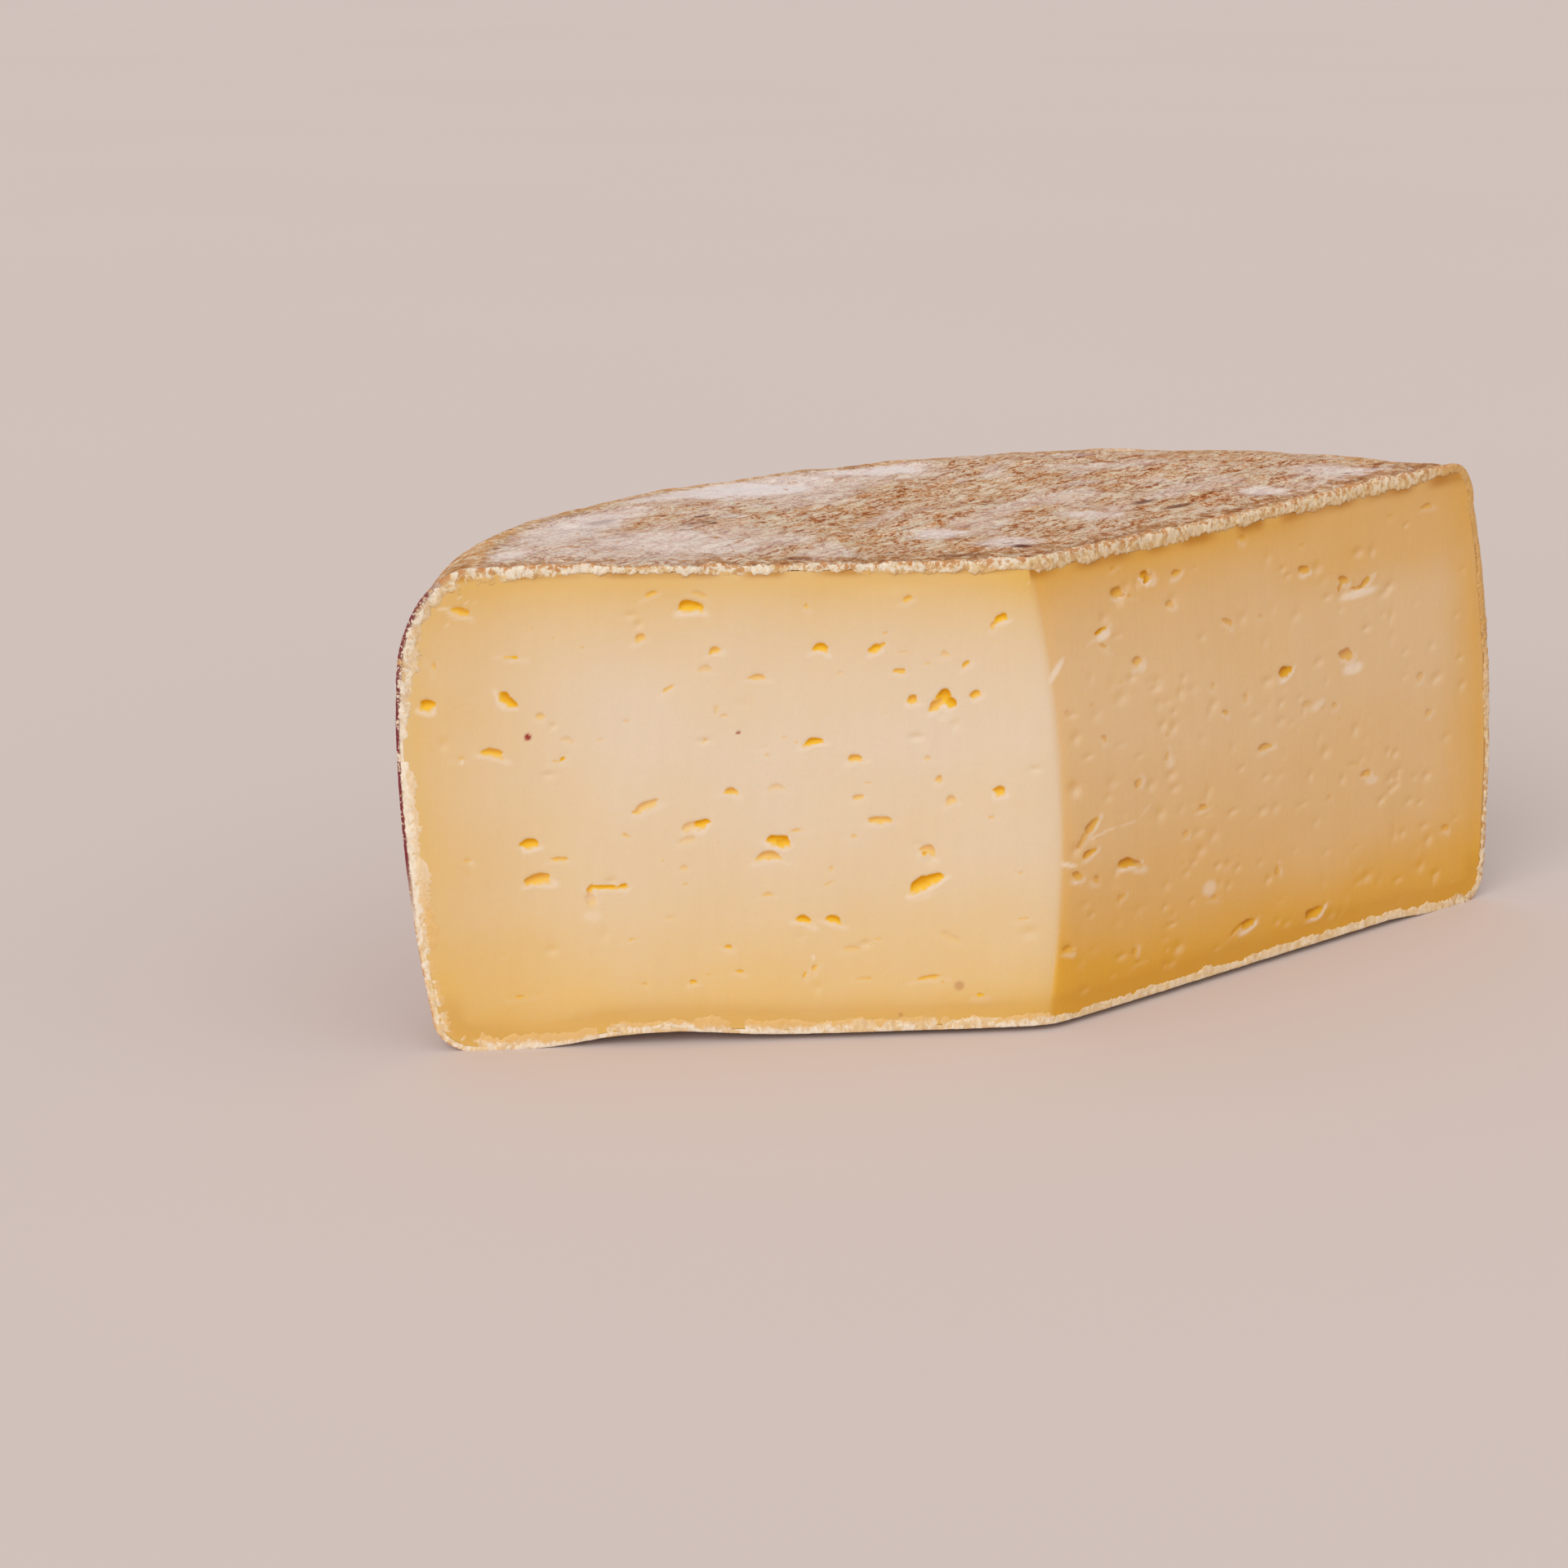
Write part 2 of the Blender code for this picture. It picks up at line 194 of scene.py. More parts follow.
def top_height(plan):
    """Height of the top: a plane that rises to the back right, dished round the cut edge, with low bumps."""
    far = np.linalg.norm(plan, axis=-1) / DISH_RADIUS
    dish = TOP_DISH * np.clip(1.0 - far * far, 0.0, 1.0)
    bump = TOP_BUMP * waves(plan, TOP_BUMP_LENGTH, TOP_BUMP_SEED) * cut_fade(plan)
    return TOP_HEIGHT + plan @ TOP_RISE - dish + bump


def under_height(plan):
    """Height of the underside: 0 on the foot, then an arch, with a hump by the left cut."""
    out = plan - WHEEL_CENTRE
    share = (np.degrees(np.arctan2(out[..., 1], out[..., 0])) - RIM_START) / (RIM_END - RIM_START)
    share = np.clip(share, 0.0, 1.0)
    foot_edge = mix(RADIUS, share) - mix(FOOT_WIDTH, share) - mix(LEAN_BELOW, share) + swell(share)
    lift = ease((foot_edge - np.linalg.norm(out, axis=-1) - FOOT_BAND) / ARCH_RUN)
    return lift * (ARCH_LIFT + HUMP_LIFT * bell(np.linalg.norm(plan - HUMP_PLACE, axis=-1), HUMP_WIDTH))


def reach(way, radius):
    """How far along a cut the wheel's circle of this radius lies from the cut edge."""
    along = way @ WHEEL_CENTRE
    return along + np.sqrt(radius**2 - WHEEL_CENTRE @ WHEEL_CENTRE + along**2)


def rim_profile(share, t, depth):
    """(inset, height share) of the rim at t, from 0 at the foot to 1 at the top, at a depth inside the skin.

    The foot and the shoulder are quarters of an ellipse. Between them the side draws in from the belly by a
    power of the distance from it.
    """
    foot_turn = np.clip(t / FOOT_PART, 0, 1) * math.pi / 2
    side = np.clip((t - FOOT_PART) / (1 - FOOT_PART - SHOULDER_PART), 0, 1)
    top_turn = np.clip((t - 1 + SHOULDER_PART) / SHOULDER_PART, 0, 1) * math.pi / 2
    near_left = share**SHOULDER_BLEND
    rise = TOP_HEIGHT - 2 * depth
    foot, shoulder = mix(FOOT_HEIGHT, share) - depth, rise - mix(SHOULDER_HEIGHT, near_left) + depth
    z = foot * (1 - np.cos(foot_turn)) + (shoulder - foot) * side + (rise - shoulder) * np.sin(top_turn)
    belly = mix(BELLY_HEIGHT, share) - depth
    low = np.clip((belly - z) / (belly - foot), 0.0, 1.0) ** LEAN_BELOW_POWER
    high = np.clip((z - belly) / (shoulder - belly), 0.0, 1.0) ** LEAN_ABOVE_POWER
    inset = mix(LEAN_BELOW, share) * low + mix(LEAN_ABOVE, share) * high + depth
    inset = inset + (mix(FOOT_WIDTH, share) - depth) * (1 - np.sin(foot_turn))
    inset = inset + (mix(SHOULDER_WIDTH, near_left) - depth) * (1 - np.cos(top_turn))
    return inset - swell(share), z / rise


def rim_point(share, t, depth):
    """(x, y, height share) of the rim: on the circle of its radius, between where the cuts cross it."""
    inset, height = rim_profile(share, t, depth)
    radius = mix(RADIUS, share) - inset
    ends = []
    for way, at in ((RIGHT_WAY, 0.0), (LEFT_WAY, 1.0)):
        corner = reach(way, mix(RADIUS, at) - rim_profile(at, t, depth)[0])[..., None] * way - WHEEL_CENTRE
        ends.append(np.arctan2(corner[..., 1], corner[..., 0]))
    turn = mix(ends, share)
    x, y = WHEEL_CENTRE
    return np.stack([x + radius * np.cos(turn), y + radius * np.sin(turn), height], axis=-1)


def edge_place(height):
    """Plan position of the cut edge: it stays on the left cut, leans by a square and bows by half a sine."""
    shift = EDGE_LEAN * height**2 - EDGE_BOW * np.sin(math.pi * height)
    return shift[..., None] * LEFT_WAY


def edge_rounded(points):
    """Points moved in round the cut edge, by half the gap between a hyperbola and its asymptotes."""
    height = np.clip(points[..., 2] / TOP_HEIGHT, 0.0, 1.0)
    far = np.linalg.norm(points[..., :2] - edge_place(height), axis=-1)
    slope = math.tan(math.radians(180.0 - CUT_ANGLE)) / 2.0
    moved = points.copy()
    moved[..., 1] += slope * (np.sqrt(far**2 + EDGE_ROUND**2) - far)
    return moved


def skin(share, row, depth):
    """A point of the wedge's skin, or of the form at a depth under it.

    row runs 0 to 1 over the underside from the cut edge to the foot, 1 to 2 up the rim, and 2 to 3 over the
    top back to the cut edge.
    """
    share, row = np.broadcast_arrays(np.asarray(share, float), np.asarray(row, float))
    rim = rim_point(share, np.clip(row - 1, 0, 1), depth)
    pole = edge_place(np.where(row < 1.5, 0.0, 1.0))
    out = np.where(row < 1, row, np.where(row > 2, 3 - row, 1.0))
    plan, height = mix((pole, rim[..., :2]), out[..., None]), rim[..., 2]
    up = mix((under_height(plan) + depth, top_height(plan) - depth), height)
    return bumped_rim(np.concatenate([plan, up[..., None]], axis=-1), height)


def bumped_rim(points, height):
    """Pushes the rim in and out by its broad bumps, which fade at the cuts, the foot and the top."""
    outward = normalised(points[..., :2] - WHEEL_CENTRE)
    upright = np.sqrt(np.clip(np.sin(math.pi * height), 0.0, 1.0))
    bump = RIM_BUMP * waves(points, RIM_BUMP_LENGTH, RIM_BUMP_SEED) * cut_fade(points[..., :2]) * upright
    return np.concatenate([points[..., :2] + outward * bump[..., None], points[..., 2:]], axis=-1)


# ---- Meshes
# The foot of the cut edge in the part's frame. The solid reaches least along X at the left cut's far end.
EDGE_FOOT = np.array([CAD_LOW[0] / MM + float(reach(LEFT_WAY, np.array(RADIUS[1]))), CAD_LOW[1] / MM, 0.0])


def grid_quads(rows, columns, ring=False):
    """Quads of a grid numbered row by row. Its last column meets its first, and in a ring its rows do too."""
    number = np.arange(rows * columns).reshape(rows, columns)
    number = np.hstack([number, number[:, :1]])
    if ring:
        number = np.vstack([number, number[:1]])
    corners = (number[:-1, :-1], number[:-1, 1:], number[1:, 1:], number[1:, :-1])
    return np.stack(corners, axis=-1).reshape(-1, 4)


def cap(loop, poles, flip):
    """Triangles from a closed loop of points to each point's pole, and quads where the pole changes."""
    poles = np.broadcast_to(poles, loop.shape)
    quads = np.column_stack([loop, np.roll(loop, -1), np.roll(poles, -1), poles])
    turns = poles != np.roll(poles, -1)
    parts = [quads[~turns, :3], quads[turns]]
    return [part[:, ::-1] for part in parts] if flip else parts


def normals_of(grid):
    """Unit normals of a grid of points: the cross product of its two central differences."""
    return normalised(np.cross(np.gradient(grid, axis=1), np.gradient(grid, axis=0)))


def placed(name, data):
    """A new object in the scene with this data."""
    made = bpy.data.objects.new(name, data)
    bpy.context.scene.collection.objects.link(made)
    return made


def make_piece(name, points, faces, material, values):
    """A smooth mesh object from points in millimetres from the cut edge, with named values on its points."""
    mesh = bpy.data.meshes.new(name)
    mesh.from_pydata((points + EDGE_FOOT) * MM, [], [face for part in faces for face in part.tolist()])
    mesh.shade_smooth()
    for key, value in values.items():
        mesh.attributes.new(key, "FLOAT", "POINT").data.foreach_set("value", value.astype(np.float32))
    mesh.validate()
    mesh.materials.append(material)
    piece = placed(name, mesh)
    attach(piece, "root")
    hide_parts(NODE)


# ---- Eyes of the paste
# Each row: along the cut from the cut edge, up from the table, width, height, tilt in degrees, how deep its
# colour is, and where it isn't BEND, how far its ends bend down. A positive tilt raises the right end.
LEFT_EYES = (
    (32.4, 59.15, 0.6, 0.5, 0, 0.6), (19.4, 59.8, 1.3, 0.6, 15, 0.7), (7.2, 56.9, 1.6, 1, 15, 1),
    (8.2, 56.05, 1, 0.6, 32, 0.7), (30.65, 53.6, 1.9, 1, 0, 1, 0.6), (23.6, 53.35, 1.7, 0.9, 20, 1),
    (22.6, 53.85, 0.9, 0.35, 30, 0.8), (22.3, 55.3, 0.7, 0.3, 20, 0.4), (20, 52.8, 1.7, 0.25, 0, 0.25),
    (14.5, 52.4, 1.1, 0.8, 0, 0.35), (16.8, 51.2, 0.8, 0.4, 0, 0.25), (11.8, 50.95, 1.25, 0.55, 35, 0.9),
    (38.85, 49.9, 2.2, 0.7, 0, 0.6), (20.4, 50.3, 1.5, 0.6, 0, 0.8), (28.1, 50.2, 0.9, 0.4, 0, 0.2),
    (18.7, 46.4, 1.3, 1.1, 0, 0.9, 0), (14.6, 46.7, 1.9, 1.9, 0, 1, 0.1), (13.7, 45.9, 1.8, 1.1, -38, 1, 0.1),
    (15.6, 45.6, 2.2, 1.2, 35, 0.85, 0), (10.5, 46.9, 1.4, 0.9, 30, 0.9), (22.2, 44.7, 0.3, 0.25, 0, 0.5),
    (35.3, 41.8, 0.8, 0.3, 0, 0.3), (33.85, 41.1, 0.4, 0.3, 0, 0.5), (31.6, 41.1, 2.4, 0.95, 8, 1),
    (37.7, 39.5, 0.6, 0.25, 0, 0.3), (26.2, 38.7, 2, 0.9, 5, 0.85), (16.7, 38.5, 0.9, 0.6, 0, 0.35),
    (36.5, 35.1, 2.4, 0.6, 0, 0.28, 0.7), (24.6, 35.4, 0.8, 0.2, 0, 0.3), (15.2, 35.6, 0.9, 0.8, 0, 0.65),
    (25.8, 33.5, 1.5, 0.6, 12, 0.6), (13.6, 32.7, 1.5, 1, 10, 0.5), (7.25, 33.8, 1.6, 1.1, 0, 0.95, 0),
    (23, 30.3, 3, 0.85, 0, 0.75), (8.25, 30.2, 0.8, 0.45, 0, 0.45), (33.9, 29.2, 2.1, 0.3, 10, 0.5, 0.6),
    (36.6, 28, 2.5, 1.2, 0, 1, -0.1), (35.7, 27.6, 1.8, 1.5, 0, 1, 0), (37.6, 25.7, 3.5, 1, 0, 0.7, 0.8),
    (26.4, 28.2, 0.9, 0.4, 0, 0.5), (16.6, 25.95, 2.1, 1.2, -10, 0.6, 0.5), (17.2, 25.4, 0.6, 0.4, 0, 0.9),
    (29.4, 23.9, 0.8, 0.5, 20, 0.35), (29.8, 21.8, 1.4, 0.2, 20, 0.35), (17.6, 21.2, 3, 1.8, 20, 1, 0.1),
    (15.8, 22.05, 2.8, 1.2, 18, 1, -0.1), (37.7, 20.5, 1.4, 0.5, 0, 0.45), (4.3, 22.4, 0.6, 0.5, 0, 0.3),
    (33.05, 16.9, 2.2, 0.9, -12, 1), (29.1, 16.75, 2.2, 0.9, -15, 1, 0.4), (3.85, 16.1, 1.5, 0.35, 0, 0.5),
    (13.6, 13.9, 3, 0.8, -25, 0.12), (23.2, 13.9, 0.9, 0.25, 0, 0.3), (26.8, 12.7, 2.1, 0.6, 0, 0.3),
    (31.7, 10.2, 0.9, 0.6, 50, 0.6), (33.05, 9.2, 0.8, 0.3, 70, 1), (25, 8.4, 1.8, 0.3, 0, 0.4),
    (16.4, 8.3, 3, 0.45, 6, 0.75), (14.6, 7.5, 0.8, 0.25, 0, 0.5), (9.55, 5.65, 1.2, 0.3, 0, 1),
    (41.6, 9.97, 1, 0.4, -10, 0.8), (81.3, 47.3, 2, 1.3, 0, 1, 0), (71.4, 48, 1.7, 1.35, -60, 1, 0),
    (70.6, 47.35, 2, 0.95, -35, 1, 0), (70.5, 53.43, 2.1, 0.45, -5, 1, 0),
    (73.2, 40.75, 3, 0.9, -10, 0.9, 0.4), (76.6, 59.5, 2.3, 0.85, -22, 0.85, 0),
    (80.3, 52.4, 0.9, 0.5, -60, 0.5), (68.8, 28.4, 2.3, 1.25, 5, 1), (67.9, 23.5, 3.5, 1.4, 14, 0.85),
    (65, 26.2, 2, 0.5, 0, 0.7), (59.1, 22.15, 3.4, 0.55, -3, 1, 0), (56.7, 22.2, 1, 0.75, 10, 1, 0),
    (61.1, 21.95, 1.3, 0.7, 50, 0.9, 0), (61, 20.4, 1.7, 1.6, 60, 0.25), (47.3, 59.4, 3.5, 1.25, 0, 1, 0.7),
    (46.1, 61, 1.9, 0.6, -20, 0.3), (52.27, 61.23, 1.5, 0.5, 15, 0.65), (53.8, 55.5, 1.4, 0.9, 10, 0.65),
    (44.3, 53.6, 1.5, 0.8, 20, 0.8), (45.5, 51.2, 1.8, 0.9, 0, 0.3), (50.4, 48.7, 1.5, 0.45, 28, 0.6),
    (66.9, 45.5, 1.1, 0.8, 0, 0.45), (63.5, 42.2, 1.6, 0.8, -20, 0.2), (55.8, 44.5, 0.9, 0.4, 0, 0.3),
    (59.3, 42.1, 0.6, 0.4, 0, 0.2), (65, 39.4, 0.9, 0.25, 0, 0.9), (64.2, 39.65, 0.8, 0.4, 35, 1),
    (45.8, 41.6, 0.8, 0.3, 25, 0.4), (44.2, 45.8, 1.2, 0.6, 80, 0.25), (43.2, 44.9, 1.2, 0.4, 0, 0.35),
    (77.1, 40.1, 1.2, 0.35, 0, 0.45), (76.9, 26.3, 1.1, 0.5, 0, 0.3), (53.5, 33.1, 3.4, 0.95, 24, 0.6, 0.35),
    (54.8, 32.2, 1.1, 0.4, 0, 0.7), (46.4, 30.45, 2.3, 1.05, 10, 1, 0), (48, 30.1, 2, 1, 20, 0.45),
    (48.3, 28.3, 2.3, 0.8, 12, 0.25), (42.4, 34.7, 1.9, 0.75, -3, 0.85), (56.1, 29.1, 1.5, 0.3, -22, 0.5),
    (48.7, 24.5, 1.2, 0.6, 0, 0.35, 0.7), (48.5, 22.2, 0.8, 0.3, 0, 0.3), (51.5, 25.6, 0.3, 0.3, 0, 0.5),
    (44.3, 27.7, 0.3, 0.2, 0, 0.4), (50.7, 17.7, 1, 0.5, 0, 0.15), (55.7, 14.9, 0.9, 0.25, 5, 0.6),
    (43.1, 13.4, 1, 0.45, -5, 0.9), (72.4, 13.4, 0.5, 0.3, 0, 0.3), (47.8, 8.7, 0.9, 0.5, 0, 0.85),
    (54.2, 8.6, 0.8, 0.4, 0, 0.4), (70.6, 7.3, 1.8, 0.3, 3, 0.6), (68, 7.7, 0.9, 0.25, 0, 0.4),
    (45.7, 9.6, 0.7, 0.25, 0, 0.3), (61.2, 54.4, 0.4, 0.3, 0, 0.4), (67.8, 57, 0.7, 0.25, 20, 0.35),
    (65.2, 55.6, 0.9, 0.3, 15, 0.35),
)
RIGHT_EYES = (
    (10.4, 62, 0.9, 0.5, 0, 0.4), (35.3, 62.7, 1.5, 0.7, -25, 0.4), (16.3, 60.2, 1.5, 1.1, -40, 1, 0),
    (16.7, 59.6, 1.4, 0.8, 60, 1, 0), (17.5, 60, 1.3, 0.6, -10, 0.5), (22.3, 59.7, 1.8, 0.8, 0, 0.7, 0),
    (11.2, 58.6, 2, 1.5, -15, 0.7, 0), (13, 57.9, 1.8, 0.3, -12, 0.5, 0), (8.2, 53.85, 2.4, 0.45, 18, 1, 0),
    (8.8, 51.7, 1.8, 0.4, -25, 0.45, 0), (21.2, 55.6, 1.4, 0.9, 0, 0.55), (15.2, 48.65, 1.8, 1.1, 5, 0.6),
    (32.7, 51.4, 2.1, 0.8, -28, 0.5), (39.3, 51.2, 1.1, 0.4, -20, 0.35), (29.7, 43, 0.9, 0.7, -50, 0.25),
    (8.6, 39.3, 1.1, 0.7, -50, 0.45), (6.8, 44, 0.8, 0.6, 0, 0.2), (2.2, 43.7, 1, 0.7, 0, 0.2),
    (32.1, 38.9, 1.3, 0.6, -30, 0.55), (36.3, 40.2, 1, 1.2, 0, 0.25), (20.5, 34.7, 1.2, 0.8, 70, 0.35),
    (20.7, 37.8, 0.8, 0.5, 0, 0.25), (14.8, 32.1, 1.3, 1.1, 60, 0.5), (40.3, 32.6, 2.8, 0.9, 0, 0.6),
    (5.8, 27.9, 2.8, 1.2, 32, 0.75, 0), (4.1, 26.3, 2.6, 0.8, 55, 0.5, 0), (5.4, 24.2, 2.3, 0.9, 10, 0.85, 0),
    (3.3, 21.5, 1.8, 1, -20, 0.7), (6.9, 20.3, 1.2, 0.9, -50, 0.5), (12.9, 21.4, 3.6, 1.3, -12, 0.95, 0),
    (14.7, 20.9, 2.6, 0.8, -22, 0.7, 0), (27.8, 26.3, 1.6, 0.8, -15, 0.6), (24.4, 23.2, 1.1, 1, 0, 0.35),
    (11.8, 16.7, 1.4, 0.9, 20, 0.35), (2.2, 11.3, 1.9, 0.9, -5, 0.6), (30.5, 12.7, 1.6, 0.5, -10, 0.45),
    (33.2, 17.2, 1.3, 0.8, 0, 0.2), (15.2, 8.2, 1.1, 0.9, 60, 0.5), (16.2, 6.5, 1.4, 0.4, 0, 0.35),
    (38.2, 7.2, 3.2, 1.1, 3, 1, 0), (35.7, 6.8, 2.6, 0.5, 25, 0.8, 0), (43.8, 13.9, 1.4, 0.9, 80, 0.5),
    (22.3, 12.1, 0.8, 0.6, 0, 0.2), (48, 56.5, 2.1, 1.1, -12, 0.75), (56.4, 53.9, 2.3, 0.9, -18, 0.8, -0.2),
    (55.7, 53, 1.6, 0.7, 65, 0.7, 0), (59.6, 52.3, 2.8, 0.45, 3, 0.8, -0.3),
    (61.1, 52.9, 2.2, 0.9, 35, 0.75, 0), (73.9, 62.1, 2.6, 0.6, 0, 0.45), (44.4, 42.6, 2.5, 1.5, 0, 1, 0),
    (57.3, 43, 3, 1.6, -10, 0.65, 0), (49, 37.2, 1.8, 1, 0, 0.25), (55, 36, 1.2, 0.8, 0, 0.35),
    (52.5, 36, 1, 0.6, 0, 0.15), (56.2, 33.8, 1, 0.5, 0, 0.15), (62.3, 24.7, 2.1, 1, 0, 0.55),
    (54.3, 22.6, 1.3, 0.7, 0, 0.2), (59.5, 26.6, 2.6, 0.7, -5, 0.15), (73.9, 37.1, 1.6, 1.2, 0, 0.3),
    (76.2, 31.3, 1.3, 1.2, 0, 0.3), (81.3, 12.8, 1.7, 0.9, -10, 0.5), (52.3, 5.8, 3.5, 1.5, 8, 1, 0),
    (54.5, 6.9, 0.7, 0.4, 0, 0.5), (66, 61.6, 1.4, 0.6, 0, 0.15), (47.5, 60, 1, 0.5, 0, 0.2),
    (26, 60, 0.8, 0.4, 0, 0.15), (45, 9.3, 0.9, 0.5, 0, 0.15), (61, 13.9, 1.3, 0.7, 0, 0.12),
    (12.1, 46.4, 0.6, 0.4, 0, 0.3), (24, 19, 0.9, 0.6, 0, 0.15),
)
# Pale marks, such as crumbs, a lifted flap and threads, and painted highlights on the lit walls of eyes: rows
# like those of the eyes.
LEFT_MARKS = (
    (76.7, 61.3, 0.45, 0.4, 0, 1), (75.8, 60.7, 0.6, 0.35, 10, 1), (74.8, 60.4, 0.5, 0.3, 10, 0.7),
    (78.8, 59.8, 1.5, 0.6, 0, 0.7), (77.2, 39.5, 0.5, 0.7, 0, 1), (76.4, 26, 0.8, 0.4, 0, 0.7),
    (60.3, 21.1, 0.45, 0.5, 0, 0.7), (60.3, 20.1, 0.4, 0.4, 0, 0.8), (60.8, 18.2, 2.6, 1.5, 0, 0.5),
    (31.9, 11.6, 0.4, 0.9, 10, 1), (44.8, 51.5, 0.4, 0.6, 0, 0.5), (14.2, 43.9, 3.2, 1.2, 0, 0.5),
    (17.5, 19.6, 3.4, 1.2, 12, 0.45), (3.6, 61.4, 0.5, 0.3, 0, 0.4), (78.4, 57.8, 0.6, 0.4, 0, 0.4),
)
RIGHT_MARKS = (
    (0.1, 49.5, 4.4, 1.1, 50, 0.8), (1.2, 23.3, 4.4, 0.7, -14, 0.8), (-0.8, 14.2, 2.4, 0.5, -20, 0.5),
    (5.7, 26.3, 1.3, 0.5, -35, 0.9), (8.3, 26.6, 4.6, 0.35, 8, 0.5), (12.5, 26.9, 5, 0.28, -2, 0.4),
    (16.2, 27.9, 3, 0.28, 35, 0.35), (8.9, 53.1, 2.7, 1.3, 15, 0.9), (9.55, 51.15, 0.6, 0.45, 0, 1),
    (29.7, 14.2, 2.8, 2.3, -10, 0.55), (59.8, 51.4, 8, 1.4, 3, 0.8), (3.1, 20.5, 0.8, 0.5, 0, 0.9),
    (58.8, 40.7, 4.4, 1.8, 0, 0.8), (17.9, 59.1, 1.8, 1.4, 10, 0.5), (16.3, 47.7, 1.8, 1.5, 40, 0.5),
    (15.4, 19.8, 3.4, 1, -8, 0.5), (51.6, 36.6, 2.8, 1.3, 25, 0.45), (63.8, 23.4, 2.8, 1.3, 0, 0.5),
    (30.1, 12.9, 0.9, 0.3, -20, 0.8), (21.2, 33.8, 1.4, 1.9, 0, 0.45),
)
# Small dark red specks: along, up, radius, strength.
LEFT_SPECKS = ((68.6, 42.7, 0.42, 1), (41.4, 42.6, 0.27, 0.9), (12.4, 7, 0.65, 0.35), (20.2, 3.2, 0.3, 0.3))
BEND, BEND_LEVEL, BEND_MOST = 0.25, 0.4, 2.0  # an eye's middle rises by BEND_LEVEL of its bend
EYE_DEPTH, EYE_LEAST_DEPTH, EYE_FAINT = 0.16, 0.07, 0.4  # share of the height, mm more, share of the faintest
EYE_LUMPS = (0.0, 0.0, 0.07, 0.08, 0.05, 0.05)  # share of the outline's radius, for 2 to 5 lobes round it
EYE_REACH, EYE_GROWN = 1.5, 0.05  # how far round an eye its values go, and how far its outline is moved out
EYE_CRISP, EYE_SOFT = 0.14, 0.45  # width of the outline's step: on the steep side, and more by the height
EYE_WALL, EYE_SLOPE = 0.25, 0.5  # width of the wall: on the steep side, and more by the height
WALL_OUT = 0.04  # how far outside the outline the wall starts
NO_EYE = -EYE_REACH / EYE_CRISP
HIGHLIGHT_PLACE, HIGHLIGHT_WIDTH, LIP_HEIGHT, HIGHLIGHT_FULL = 0.36, 0.30, 0.03, 1.2  # the painted highlight below an eye: its place outside the outline, its width, how far its lip is raised, and an eye this high has it in full
MARK_EDGE, SPECK_EDGE = (1.3, 0.6), (1.25, 0.75)  # where a soft edge starts and ends, in the half width
# Each dent's place along and up, its two half widths and its depth: least and most.
DENT_LEAST, DENT_MOST = (2.0, 3.0, 0.35, 0.3, 0.02), (84.0, 60.0, 1.0, 0.9, 0.24)


class Cut(NamedTuple):
    """One of the two cut faces."""

    right: int  # 1 for the right cut, 0 for the left
    way: np.ndarray
    normal: np.ndarray
    fade: tuple  # the side towards the light, on which an eye's floor rises, its colour fades and lightens and its painted highlight lies, and the dents' slopes are painted lit
    dents: int  # how many shallow dents are scattered over it
    eyes: tuple
    marks: tuple
    specks: tuple


CUTS = (
    Cut(0, LEFT_WAY, LEFT_NORMAL, (0.0, -1.0), 30, LEFT_EYES, LEFT_MARKS, LEFT_SPECKS),
    Cut(1, RIGHT_WAY, RIGHT_NORMAL, (0.6, -0.8), 230, RIGHT_EYES, RIGHT_MARKS, ()),
)


def turned_round(across, up, row, cut):
    """(along, above) of points in the frame of a row's ellipse, in its half width and half height."""
    x = (across - row[0]) * (1.0 if cut.right else -1.0)
    y = up - row[1]
    turn = math.radians(row[4])
    along, above = x * math.cos(turn) + y * math.sin(turn), y * math.cos(turn) - x * math.sin(turn)
    return along * 2.0 / row[2], above * 2.0 / row[3]


